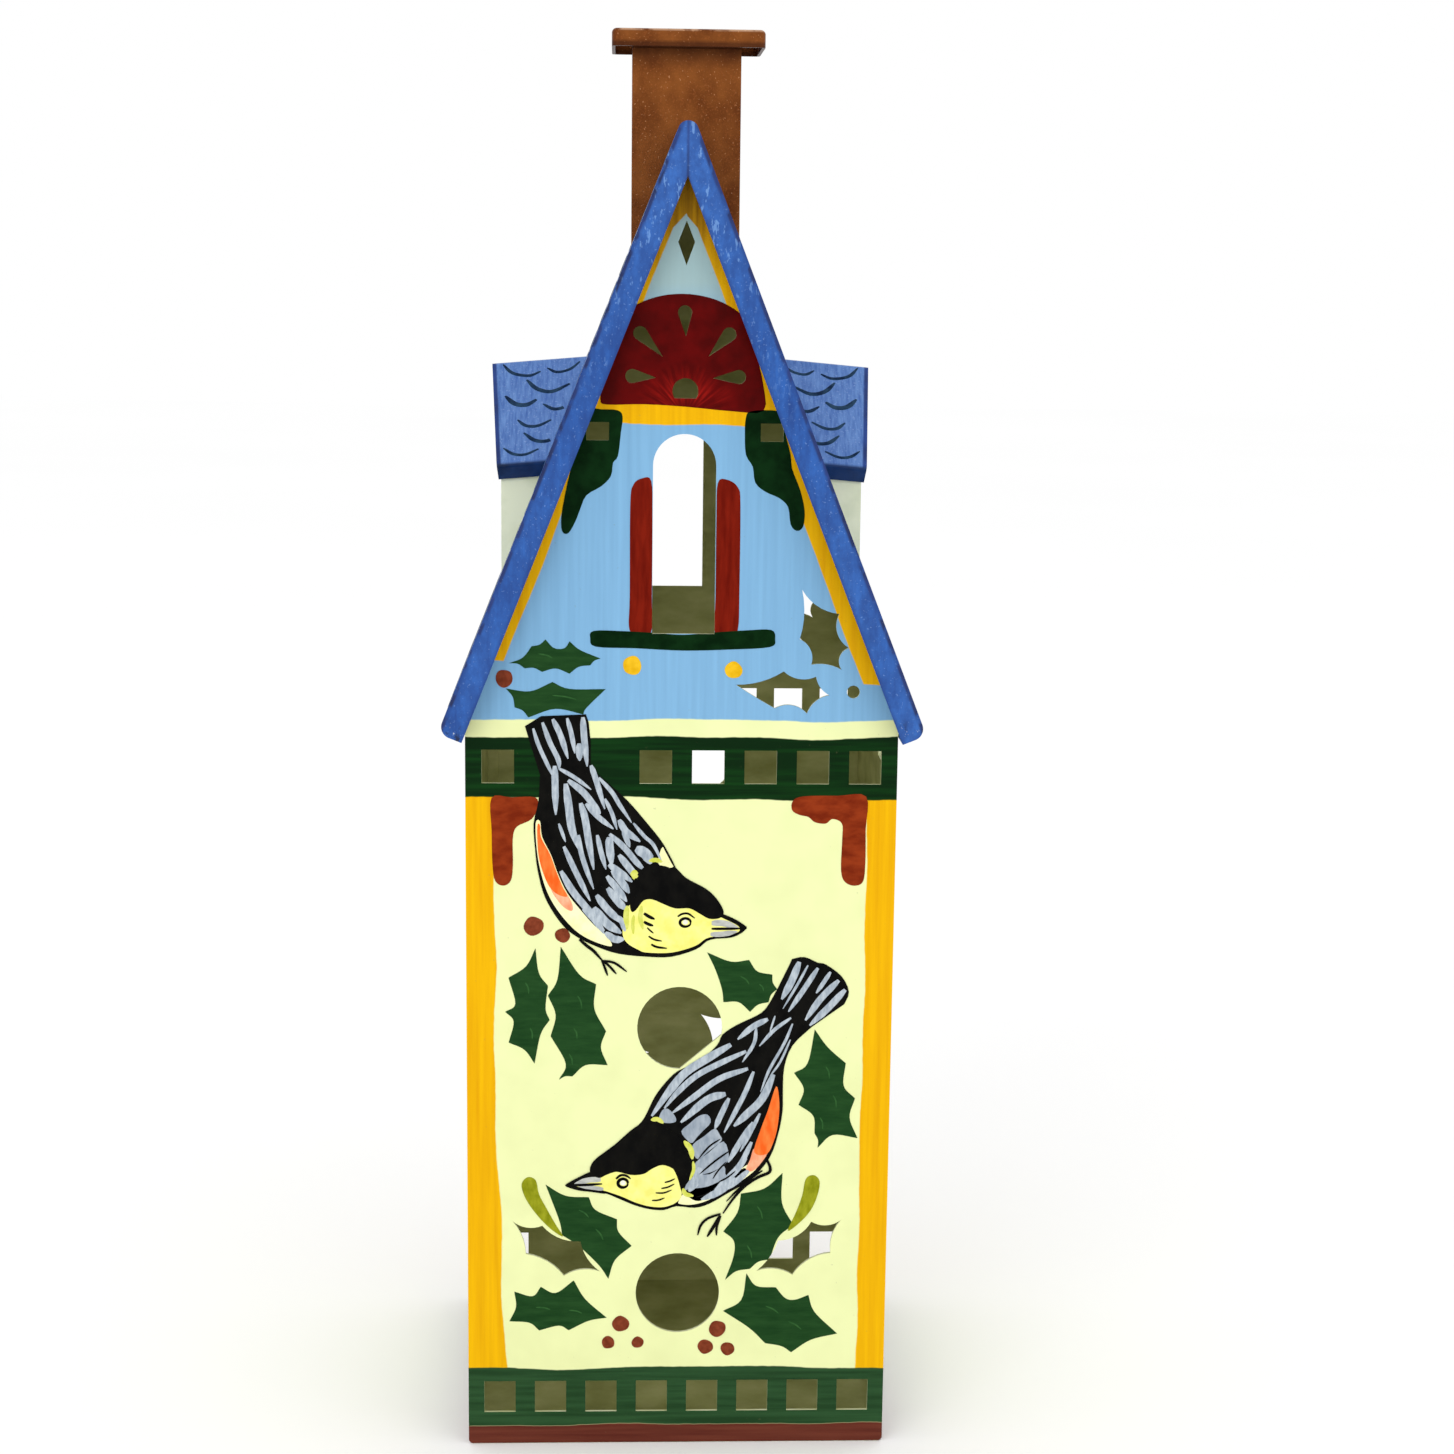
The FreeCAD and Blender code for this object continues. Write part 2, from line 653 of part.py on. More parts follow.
def stand_dormer(body, tilt):
    """Turn a dormer piece to face +X, let its outer end drop by tilt and set it on the roof."""
    turn = Rotation(Vector(0, 1, 0), tilt) * Rotation(Vector(0, 0, 1), 90)
    body.Placement = Placement(Vector(dim("dormer_root"), 0, dim("dormer_ridge")), turn)
    doc.recompute()


def dormer_roof(envelope):
    length = ("dims.dormer_length", "dims.dormer_length + dims.dormer_tail")
    body = folded_roof("dormer_sheet", "dormer", length, length[:1],
                       "dims.dormer_bend", "dims.dormer_hollow", "dims.dormer_bend")
    stand_dormer(body, dim("dormer_tilt"))
    return cut("right_dormer_roof", body, envelope)


def dormer_walls(envelope):
    """Face and two cheeks of a dormer, open at the back, where the main roof closes it."""
    body = new_body("dormer_shell")
    shell = new_sketch(body, "shell_sketch", offset="dims.dormer_face")
    under = "(dims.gauge + dims.dormer_gap) / cos(dims.dormer_angle)"
    top = "dims.dormer_peak - dims.dormer_face * tan(dims.dormer_tilt) - %s" % under
    shoulder = "%s - dims.dormer_cheek * tan(dims.dormer_angle)" % top
    outline(shell, (("-dims.dormer_cheek", "-dims.dormer_foot"), ("dims.dormer_cheek", "-dims.dormer_foot"),
                    ("dims.dormer_cheek", shoulder), ("0", top), ("-dims.dormer_cheek", shoulder)))
    pad(body, shell, "dims.dormer_face + dims.dormer_tail", "shell", backwards=True)
    hollow = new_sketch(body, "hollow_sketch", "XY_Plane")
    inner = "(dims.dormer_cheek - dims.gauge)"
    rectangle(hollow, "-" + inner, inner, "dims.gauge - dims.dormer_face", "2 * dims.dormer_tail")
    pocket(body, hollow, "hollow", both_ways=True)
    pierce_arch(body, "window", "dims.dormer_window_half", "-dims.dormer_window_sill",
                "-dims.dormer_window_spring")
    stand_dormer(body, 0)
    return cut("right_dormer_walls", body, envelope)


def mirror(label, source):
    """The same piece on the left-hand side."""
    piece = doc.addObject("Part::Mirroring", label)
    piece.Label = label
    piece.Source = source
    piece.Normal = Vector(1, 0, 0)
    doc.recompute()
    return piece


# ---------------------------------------------------------------- clean-out door and its hardware

def hinge_rivet_heights():
    """Heights of the four rivets in a row, two to each hinge."""
    middle = "dims.{} + dims.hinge_length / 2 {} dims.rivet_spacing / 2"
    return [middle.format(hinge, sign) for hinge in ("hinge_lower", "hinge_upper") for sign in "-+"]


def rear_door():
    body = new_body("rear_door")
    body.setExpression("Placement.Base.y", "dims.body_depth / 2 + dims.door_gap + dims.gauge")
    blank = new_sketch(body, "blank_sketch")
    rectangle(blank, "-dims.door_half", "dims.door_half", "dims.door_foot", "dims.door_top")
    pad(body, blank, "dims.gauge", "blank")
    round_edges(body, lambda edge: lies_along(edge, Vector(0, 1, 0)), "dims.door_corner", "corner_round")
    leaves = new_sketch(body, "leaves_sketch")
    for points in DOOR_LEAVES:
        add_leaf(leaves, points)
    pocket(body, leaves, "leaves")
    holes = new_sketch(body, "rivet_holes_sketch")
    for up in hinge_rivet_heights():
        circle(holes, "-dims.hinge_axis + dims.rivet_reach", up, "dims.rivet_radius")
    circle(holes, "dims.knob_offset", "dims.knob_height", "dims.knob_tail")
    pocket(body, holes, "rivet_holes")
    return body


AXIS_Y = "(dims.body_depth / 2 + dims.hinge_stand)"
OUTER_FACE = "dims.body_depth / 2"
DOOR_FACE = "(dims.body_depth / 2 + dims.door_gap + dims.gauge)"
KNUCKLE = "((dims.hinge_length - 2 * dims.knuckle_gap) / 3)"


def bored(label, solids, tools):
    """Fuse the solids of a hinge leaf and bore them for the pin and the rivets."""
    blank = fuse(label + "_blank", solids)
    holes = fuse(label + "_holes", tools)
    return cut(label, blank, holes)


def rivet_bores(label, side, foot):
    """Bores for the two rivets of a leaf, across the sheet."""
    bores = []
    for index, sign in enumerate("-+"):
        bore = cylinder("%s_rivet_bore_%d" % (label, index), "dims.rivet_radius", "dims.bore_length",
                        "-dims.hinge_axis %s dims.rivet_reach" % side, "%s - dims.leaf_gauge" % DOOR_FACE,
                        "%s + dims.hinge_length / 2 %s dims.rivet_spacing / 2" % (foot, sign))
        bore.Placement.Rotation = Rotation(Vector(1, 0, 0), -90)
        bores.append(bore)
    return bores


def frame_leaf(label, foot):
    """The hinge leaf on the rear panel: a plate that curls into the top and bottom knuckles."""
    plate = box(label + "_plate", "dims.hinge_reach - dims.hinge_inset", "dims.leaf_gauge",
                "dims.hinge_length",
                "-dims.hinge_axis - dims.hinge_reach", OUTER_FACE, foot)
    solids = [plate]
    for index, up in enumerate((foot, "%s + 2 * (%s + dims.knuckle_gap)" % (foot, KNUCKLE))):
        solids.append(box("%s_curl_%d" % (label, index), "dims.hinge_inset + dims.leaf_gauge",
                          "dims.curl_gauge", KNUCKLE,
                          "-dims.hinge_axis - dims.hinge_inset - dims.leaf_gauge", OUTER_FACE, up))
        solids.append(cylinder("%s_knuckle_%d" % (label, index), "dims.knuckle_radius", KNUCKLE,
                               "-dims.hinge_axis", AXIS_Y, up))
    bore = cylinder(label + "_pin_bore", "dims.pin_radius", "dims.hinge_length",
                    "-dims.hinge_axis", AXIS_Y, foot)
    tools = [bore] + rivet_bores(label, "-", foot)
    for tool in tools[1:]:
        tool.setExpression("Placement.Base.y", "%s - dims.leaf_gauge" % OUTER_FACE)
    return bored(label, solids, tools)


def door_leaf(label, foot):
    """The hinge leaf on the door: a plate whose neck runs into the middle knuckle."""
    middle = "%s + %s + dims.knuckle_gap" % (foot, KNUCKLE)
    plate = box(label + "_plate", "dims.hinge_reach - dims.hinge_inset", "dims.leaf_gauge",
                "dims.hinge_length",
                "-dims.hinge_axis + dims.hinge_inset", DOOR_FACE, foot)
    neck = box(label + "_neck", "dims.hinge_inset + dims.leaf_gauge", "dims.leaf_gauge", KNUCKLE,
               "-dims.hinge_axis", DOOR_FACE, middle)
    knuckle = cylinder(label + "_knuckle", "dims.knuckle_radius", KNUCKLE,
                       "-dims.hinge_axis", AXIS_Y, middle)
    bore = cylinder(label + "_pin_bore", "dims.pin_radius + dims.running_gap", "dims.hinge_length",
                    "-dims.hinge_axis", AXIS_Y, foot)
    return bored(label, [plate, neck, knuckle], [bore] + rivet_bores(label, "+", foot))


def turned(label, profile_name, corners, along_y=False):
    """A turned piece: half its section, as (radius, height) pairs, revolved about its own axis."""
    body = new_body(label)
    sketch = new_sketch(body, profile_name)
    outline(sketch, corners)
    feature = body.newObject("PartDesign::Revolution", "turning")
    feature.Profile = sketch
    feature.ReferenceAxis = (sketch, ["V_Axis"])
    feature.Angle = 360
    doc.recompute()
    if along_y:
        body.Placement = Placement(Vector(), Rotation(Vector(1, 0, 0), -90))
    return body


def hinge_pin(label, foot):
    """A pin with a head at the top and a smaller peened head below the bottom knuckle."""
    corners = (("0", "-dims.pin_peen_height"), ("dims.pin_crown_radius", "-dims.pin_peen_height"),
               ("dims.pin_crown_radius", "0"), ("dims.pin_radius", "0"),
               ("dims.pin_radius", "dims.hinge_length"), ("dims.pin_head_radius", "dims.hinge_length"),
               ("dims.pin_crown_radius", "dims.hinge_length + dims.pin_head_height"),
               ("0", "dims.hinge_length + dims.pin_head_height"))
    body = turned(label, "pin_sketch", corners)
    bind(body, Placement__Base__x="-dims.hinge_axis", Placement__Base__y=AXIS_Y, Placement__Base__z=foot)
    return body


def rivet_group(label, side, start, grip):
    """Four like rivets; start is where their peened heads lie on the inner sheet, grip its thickness."""
    corners = (("0", "-dims.rivet_head_height"), ("dims.rivet_peen_radius", "-dims.rivet_head_height"),
               ("dims.rivet_head_radius", "0"), ("dims.rivet_radius", "0"), ("dims.rivet_radius", grip),
               ("dims.rivet_head_radius", grip),
               ("dims.rivet_crown_radius", "%s + dims.rivet_head_height" % grip),
               ("0", "%s + dims.rivet_head_height" % grip))
    rivets = []
    for index, up in enumerate(hinge_rivet_heights()):
        rivet = turned("%s_%d" % (label, index), "rivet_sketch", corners, along_y=True)
        bind(rivet, Placement__Base__x="-dims.hinge_axis %s dims.rivet_reach" % side,
             Placement__Base__y=start, Placement__Base__z=up)
        rivets.append(rivet)
    group = doc.addObject("Part::Compound", label)
    group.Label = label
    group.Links = rivets
    doc.recompute()
    return group


def door_knob():
    """A small turned knob, its tail peened over inside the door."""
    tail = "-dims.gauge"
    peen = "-dims.knob_peen_height"
    corners = (("0", peen), ("dims.knob_peen_radius", peen), ("dims.knob_peen_radius", tail),
               ("dims.knob_tail", tail), ("dims.knob_tail", "0"), ("dims.knob_foot_radius", "0"),
               ("dims.knob_neck", "dims.knob_neck_height"),
               ("dims.knob_shoulder_radius", "dims.knob_shoulder_height"),
               ("dims.knob_radius", "dims.knob_widest_height"),
               ("dims.knob_crown_radius", "dims.knob_crown_height"),
               ("dims.knob_top_radius", "dims.knob_length"), ("0", "dims.knob_length"))
    body = turned("door_knob", "knob_sketch", corners, along_y=True)
    bind(body, Placement__Base__x="dims.knob_offset", Placement__Base__y=DOOR_FACE,
         Placement__Base__z="dims.knob_height")
    return body


BUTTON_FACE = "(dims.door_gap * 2 + dims.gauge)"


def button_pivot():
    """A stepped rivet: its collar holds the button just clear of the door's face."""
    step = BUTTON_FACE
    head = "(%s + dims.button_gauge + dims.running_gap)" % step
    crown = "%s + dims.rivet_head_height" % head
    tail = "-dims.gauge"
    peen = "-dims.gauge - dims.rivet_head_height"
    wide = "dims.button_collar"
    shank = "dims.button_shank"
    corners = (("0", peen), ("dims.button_peen", peen), (wide, tail), (shank, tail), (shank, "0"),
               (wide, "0"), (wide, step), (shank, step), (shank, head), (wide, head),
               ("dims.button_crown", crown), ("0", crown))
    body = turned("button_pivot", "pivot_sketch", corners, along_y=True)
    bind(body, Placement__Base__x="dims.button_offset", Placement__Base__y=OUTER_FACE,
         Placement__Base__z="dims.knob_height")
    return body


def turn_button():
    """A flat bar with round ends, upright and clear of the door when it is unlocked."""
    body = new_body("turn_button")
    bind(body, Placement__Base__x="dims.button_offset", Placement__Base__z="dims.knob_height",
         Placement__Base__y="%s + %s + dims.button_gauge" % (OUTER_FACE, BUTTON_FACE))
    bar = new_sketch(body, "bar_sketch")
    rectangle(bar, "-dims.button_half_width", "dims.button_half_width",
              "-dims.button_half_length", "dims.button_half_length")
    pad(body, bar, "dims.button_gauge", "bar")
    round_edges(body, lambda edge: lies_along(edge, Vector(0, 1, 0)), "dims.button_end_round", "end_round")
    pierce_round(body, "bore", "0", "0", "dims.button_shank + dims.running_gap")
    return body


# ---------------------------------------------------------------- the whole house

def build_nodes():
    envelope = roof_envelope()
    nodes = [front_panel(), rear_panel(), side_panel("left_side_panel", -1),
             side_panel("right_side_panel", 1), floor_pan(), main_roof(), chimney_shaft(envelope),
             chimney_cap()]
    right_roof = dormer_roof(envelope)
    right_walls = dormer_walls(envelope)
    nodes += [right_roof, right_walls]
    nodes += [mirror("left_dormer_roof", right_roof), mirror("left_dormer_walls", right_walls)]
    nodes.append(rear_door())
    for place in ("lower", "upper"):
        foot = "dims.hinge_" + place
        nodes.append(frame_leaf(place + "_hinge_frame_leaf", foot))
        nodes.append(door_leaf(place + "_hinge_door_leaf", foot))
        nodes.append(hinge_pin(place + "_hinge_pin", foot))
    nodes.append(rivet_group("frame_leaf_rivets", "-", "%s - dims.gauge" % OUTER_FACE,
                             "dims.gauge + dims.leaf_gauge"))
    nodes.append(rivet_group("door_leaf_rivets", "+", "%s - dims.gauge" % DOOR_FACE,
                             "dims.gauge + dims.leaf_gauge"))
    nodes += [door_knob(), button_pivot(), turn_button()]
    return nodes


def check(nodes):
    """Stop if any object of the document failed or any node is missing, void or broken."""
    for item in doc.Objects:
        if "Invalid" in item.State or "Error" in item.State:
            raise RuntimeError("%s did not recompute: %s" % (item.Label, item.State))
    for node in nodes:
        if node.Shape.isNull() or not node.Shape.isValid():
            raise RuntimeError("%s has no valid shape" % node.Label)


def export(nodes):
    os.makedirs("parts", exist_ok=True)
    for node in nodes:
        node.Shape.exportStep("parts/%s.step" % node.Label)
        bounds = node.Shape.BoundBox
        print("%-24s %9.0f mm3  x %7.2f %7.2f  y %7.2f %7.2f  z %7.2f %7.2f" % (
            node.Label, node.Shape.Volume, bounds.XMin, bounds.XMax, bounds.YMin, bounds.YMax,
            bounds.ZMin, bounds.ZMax))


fill_sheet()
house = build_nodes()
doc.recompute()
check(house)
export(house)
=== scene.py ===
"""A birdhouse of folded sheet metal, painted by hand: finishes and painted decoration on the CAD frame."""
import math

import bmesh
import bpy
from mathutils import Matrix, Vector, geometry
from mathutils.bvhtree import BVHTree


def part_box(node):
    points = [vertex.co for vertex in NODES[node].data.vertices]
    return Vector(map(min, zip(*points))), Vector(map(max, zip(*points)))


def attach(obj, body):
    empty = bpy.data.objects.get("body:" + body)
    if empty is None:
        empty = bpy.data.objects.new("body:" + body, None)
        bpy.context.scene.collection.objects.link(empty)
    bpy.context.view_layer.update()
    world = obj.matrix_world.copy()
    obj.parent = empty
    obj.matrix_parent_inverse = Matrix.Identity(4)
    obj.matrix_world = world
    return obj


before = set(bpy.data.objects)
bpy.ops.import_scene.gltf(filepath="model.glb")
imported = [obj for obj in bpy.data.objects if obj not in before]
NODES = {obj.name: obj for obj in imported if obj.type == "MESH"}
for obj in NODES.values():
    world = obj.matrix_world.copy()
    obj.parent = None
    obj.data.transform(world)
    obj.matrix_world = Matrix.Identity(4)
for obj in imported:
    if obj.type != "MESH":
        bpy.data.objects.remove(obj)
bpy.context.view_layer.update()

MM = 0.001
X, Y, Z = Vector((1, 0, 0)), Vector((0, 1, 0)), Vector((0, 0, 1))


# ---------------------------------------------------------------- surfaces that carry paint
def box_mm(node):
    """Lowest and highest corner of a CAD node, in millimetres."""
    low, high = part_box(node)
    return low / MM, high / MM


def area(points):
    return 0.5 * sum(a[0] * b[1] - b[0] * a[1] for a, b in zip(points, points[1:] + points[:1]))


class Surface:
    """A face of the house with its own across and up axes, in millimetres."""

    def __init__(self, origin, across, up, body="house", node=None):
        self.origin = Vector(origin)
        self.across = Vector(across).normalized()
        self.up = Vector(up).normalized()
        self.normal = self.across.cross(self.up).normalized()
        self.body = body
        self.tree = None
        self.openings = []
        if node:
            mesh = NODES[node].data
            corners = [v.co / MM for v in mesh.vertices]
            self.tree = BVHTree.FromPolygons(corners, [p.vertices for p in mesh.polygons])

    def pierced(self, node):
        """Finds the openings cut through this flat face, so that no paint is laid over them."""
        mesh = NODES[node].data
        spots, uses = {}, {}
        for polygon in mesh.polygons:
            places = [mesh.vertices[i].co / MM for i in polygon.vertices]
            if max(abs((p - self.origin).dot(self.normal)) for p in places) > 0.02:
                continue
            flat = [(round((p - self.origin).dot(self.across), 3), round((p - self.origin).dot(self.up), 3))
                    for p in places]
            for edge in zip(flat, flat[1:] + flat[:1]):
                if edge[0] != edge[1]:
                    uses[frozenset(edge)] = uses.get(frozenset(edge), 0) + 1
        for edge, count in uses.items():
            if count == 1:
                a, b = tuple(edge)
                spots.setdefault(a, []).append(b)
                spots.setdefault(b, []).append(a)
        loops = []
        while spots:
            start = next(iter(spots))
            loop, here = [start], spots[start][0]
            while here != start and here in spots:
                ahead = [p for p in spots[here] if p != loop[-1]]
                loop.append(here)
                here = ahead[0] if ahead else start
            for spot in loop:
                spots.pop(spot, None)
            loops.append(loop)
        loops.sort(key=lambda loop: abs(area(loop)))
        self.openings = loops[:-1]
        return self

    def point(self, u, v, height):
        """The place in metres of a point at (u, v) and that height over the face, or None off the face."""
        place = self.origin + self.across * u + self.up * v
        if self.tree is not None:
            hit = self.tree.ray_cast(place + self.normal * 6.0, -self.normal, 12.0)[0]
            if hit is None:
                return None
            place = hit
        return (place + self.normal * height) * MM


front_low = box_mm("front_panel")[0]
rear_high = box_mm("rear_panel")[1]
left_low = box_mm("left_side_panel")[0]
right_high = box_mm("right_side_panel")[1]
door_high = box_mm("rear_door")[1]
roof_low, roof_high = box_mm("roof")
cap_low, cap_high = box_mm("chimney_cap")

FRONT = Surface((0, front_low.y, 0), X, Z)
REAR = Surface((0, rear_high.y, 0), -X, Z)
RIGHT = Surface((right_high.x, 0, 0), Y, Z)
LEFT = Surface((left_low.x, 0, 0), -Y, Z)
DOOR = Surface((0, door_high.y, 0), -X, Z, body="door")

for face, pierced_node in ((FRONT, "front_panel"), (REAR, "rear_panel"), (RIGHT, "right_side_panel"),
                           (LEFT, "left_side_panel"), (DOOR, "rear_door")):
    face.pierced(pierced_node)

ROOF_RISE = 2.52
ROOF_RIDGE = 401.2
RISE_LENGTH = math.hypot(1.0, ROOF_RISE)
slope_right = Vector((-1, 0, ROOF_RISE))
slope_left = Vector((1, 0, ROOF_RISE))
ROOF_RIGHT = Surface((0, 0, ROOF_RIDGE), Y, slope_right, node="roof")
ROOF_LEFT = Surface((0, 0, ROOF_RIDGE), -Y, slope_left, node="roof")
DORMER_DROP = math.radians(5.0)
DORMER_ROOT = (29.4, 329.2)


def dormer_slope(side, facing, node):
    """A slope of a dormer roof: side is 1 on the right, facing is -1 towards the front."""
    ridge = Vector((side * math.cos(DORMER_DROP), 0, -math.sin(DORMER_DROP)))
    up = Vector((0, -facing, 1.0)).normalized()
    across = ridge * (side * -facing)
    return Surface((side * DORMER_ROOT[0], 0, DORMER_ROOT[1]), across, up, node=node)


# ---------------------------------------------------------------- drawing
def spline(points, steps, closed):
    """A smooth curve through the points."""
    count = len(points)
    spans = count if closed else count - 1
    curve = []
    for i in range(spans):
        if closed:
            a, b, c, d = (points[(i + k) % count] for k in (-1, 0, 1, 2))
        else:
            b, c = points[i], points[i + 1]
            a = points[i - 1] if i else (2 * b[0] - c[0], 2 * b[1] - c[1])
            d = points[i + 2] if i + 2 < count else (2 * c[0] - b[0], 2 * c[1] - b[1])
        for k in range(steps):
            t = k / steps
            curve.append(tuple(0.5 * (2 * q + (r - p) * t + (2 * p - 5 * q + 4 * r - s) * t ** 2
                                      + (3 * q - p - 3 * r + s) * t ** 3) for p, q, r, s in zip(a, b, c, d)))
    if not closed:
        curve.append(tuple(points[-1]))
    return curve


def soft(points, steps=5):
    """A closed shape with rounded corners."""
    return spline(points, steps, closed=True)


def holly(points, hollow=0.13, steps=5):
    """A holly leaf: its outward points stay sharp and its edges between them sweep inwards."""
    if area(points) < 0:
        points = points[::-1]
    count = len(points)
    sharp = []
    for i in range(count):
        a, b, c = points[i - 1], points[i], points[(i + 1) % count]
        sharp.append((b[0] - a[0]) * (c[1] - b[1]) - (b[1] - a[1]) * (c[0] - b[0]) > 0)
    first = sharp.index(True)
    order = [(first + k) % count for k in range(count)] + [first]
    shape, run = [], [points[first]]
    for i in order[1:]:
        run.append(points[i])
        if sharp[i]:
            if len(run) == 2:
                (ax, ay), (bx, by) = run
                middle = ((ax + bx) / 2 - (by - ay) * hollow, (ay + by) / 2 + (bx - ax) * hollow)
                run.insert(1, middle)
            shape += spline(run, steps, closed=False)[:-1]
            run = [points[i]]
    return shape


def disc(u, v, radius, wobble=0.06, steps=20):
    """A round dab of paint, not quite true."""
    return [(u + radius * (1 + wobble * math.sin(2 * a + u)) * math.cos(a),
             v + radius * (1 + wobble * math.cos(3 * a + v)) * math.sin(a))
            for a in (2 * math.pi * k / steps for k in range(steps))]


def moved(points, u=0.0, v=0.0, size=1.0, turn=0.0, flip=False):
    """The shape turned, scaled and put at (u, v)."""
    c, s = math.cos(math.radians(turn)), math.sin(math.radians(turn))
    placed = []
    for a, b in points:
        a = -a if flip else a
        placed.append((u + size * (a * c - b * s), v + size * (a * s + b * c)))
    return placed


def inside(point, loop):
    x, y = point
    within = False
    for (ax, ay), (bx, by) in zip(loop, loop[1:] + loop[:1]):
        if (ay > y) != (by > y) and x < ax + (y - ay) * (bx - ax) / (by - ay):
            within = not within
    return within


def placed(name, mesh, material):
    """The drawn mesh as an object of the scene."""
    data = bpy.data.meshes.new(name)
    mesh.to_mesh(data)
    mesh.free()
    data.materials.append(material)
    thing = bpy.data.objects.new(name, data)
    bpy.context.scene.collection.objects.link(thing)
    return thing


def piece(name, mesh, material, body):
    """The drawn mesh, without its loose points, as a piece that rides on the body."""
    for vert in [v for v in mesh.verts if not v.link_faces]:
        mesh.verts.remove(vert)
    thing = placed(name, mesh, material)
    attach(thing, body)


def face_out(mesh, corners, surface):
    """A face of the mesh that looks away from the surface."""
    drawn = mesh.faces.new(corners)
    drawn.normal_update()
    if drawn.normal.dot(surface.normal) < 0:
        drawn.normal_flip()
    return drawn


def overlap(loop, shape, axis):
    """True if the two outlines share some of their extent along the axis."""
    ours, theirs = [p[axis] for p in loop], [p[axis] for p in shape]
    return min(ours) < max(theirs) and max(ours) > min(theirs)


def painted(name, surface, shapes, height, material, ground=0.0):
    """Flat dabs of paint, as one piece, that stand a little proud of the face and stop at its openings."""
    mesh = bmesh.new()
    for shape in shapes:
        voids = [loop for loop in surface.openings if overlap(loop, shape, 0) and overlap(loop, shape, 1)]
        corners, edges = [], []
        for loop in [shape] + voids:
            start = len(corners)
            corners += [Vector(p) for p in loop]
            edges += [(start + k, start + (k + 1) % len(loop)) for k in range(len(loop))]
        flat, _, faces, *_ = geometry.delaunay_2d_cdt(corners, edges, [], 0, 1e-4)
        made = [surface.point(p.x, p.y, height) for p in flat]
        made = [mesh.verts.new(p) if p else None for p in made]
        for face in faces:
            middle = sum((flat[i] for i in face), Vector((0, 0))) / len(face)
            if None in [made[i] for i in face]:
                continue
            if inside(middle, shape) and not any(inside(middle, loop) for loop in voids):
                face_out(mesh, [made[i] for i in face], surface)
    rim = [e for e in mesh.edges if e.is_boundary]
    skirt = bmesh.ops.extrude_edge_only(mesh, edges=rim)["geom"]
    for vert in (v for v in skirt if isinstance(v, bmesh.types.BMVert)):
        vert.co -= surface.normal * (height - ground) * MM
    piece(name, mesh, material, surface.body)


# A brush stroke reaches its full width after SWELL of its length and loses it over the last THIN of it.
SWELL, THIN, TAPER = 0.22, 0.3, 0.7
# Places across a stroke, from edge to edge, and how high the paint stands there.
CROWN = ((-1, 0.0), (-0.6, 0.85), (0, 1.0), (0.6, 0.85), (1, 0.0))


def stroked(name, surface, strokes, height, material, relief=0.08, ends=(0.25, 0.3)):
    """Brush strokes as one piece: each is (points, width), and ends says how wide it begins and stops."""
    mesh = bmesh.new()
    for points, width in strokes:
        path = spline(points, 5, closed=False)
        last = len(path) - 1
        rows = []
        for i, (u, v) in enumerate(path):
            a, b = path[max(i - 1, 0)], path[min(i + 1, last)]
            length = math.hypot(b[0] - a[0], b[1] - a[1]) or 1.0
            side = (-(b[1] - a[1]) / length, (b[0] - a[0]) / length)
            t = i / last
            swelling = ends[0] + (1 - ends[0]) * (t / SWELL) ** TAPER
            thinning = ends[1] + (1 - ends[1]) * ((1 - t) / THIN) ** TAPER
            full = min(1.0, swelling, thinning)
            half = 0.5 * width * full
            wide_u, wide_v = side[0] * half, side[1] * half
            row = [surface.point(u + wide_u * k, v + wide_v * k, height + relief * rise * full)
                   for k, rise in CROWN]
            open_here = any(inside((u + wide_u * k, v + wide_v * k), loop)
                            for loop in surface.openings for k in (-1, 0, 1))
            rows.append(None if None in row or open_here else [mesh.verts.new(p) for p in row])
        for first, second in zip(rows, rows[1:]):
            if first and second:
                for k in range(len(first) - 1):
                    corners = (first[k], first[k + 1], second[k + 1], second[k])
                    face_out(mesh, corners, surface).smooth = True
    piece(name, mesh, material, surface.body)


# ---------------------------------------------------------------- finishes
def rgb(*everyday):
    """A linear colour from everyday 0-255 values."""
    return tuple(c / 12.92 if c <= 0.04045 else ((c + 0.055) / 1.055) ** 2.4 for c in
                 (value / 255 for value in everyday)) + (1.0,)


def triple(size):
    """The size as (x, y, z): one number stands for all three."""
    return (size,) * 3 if isinstance(size, (int, float)) else size


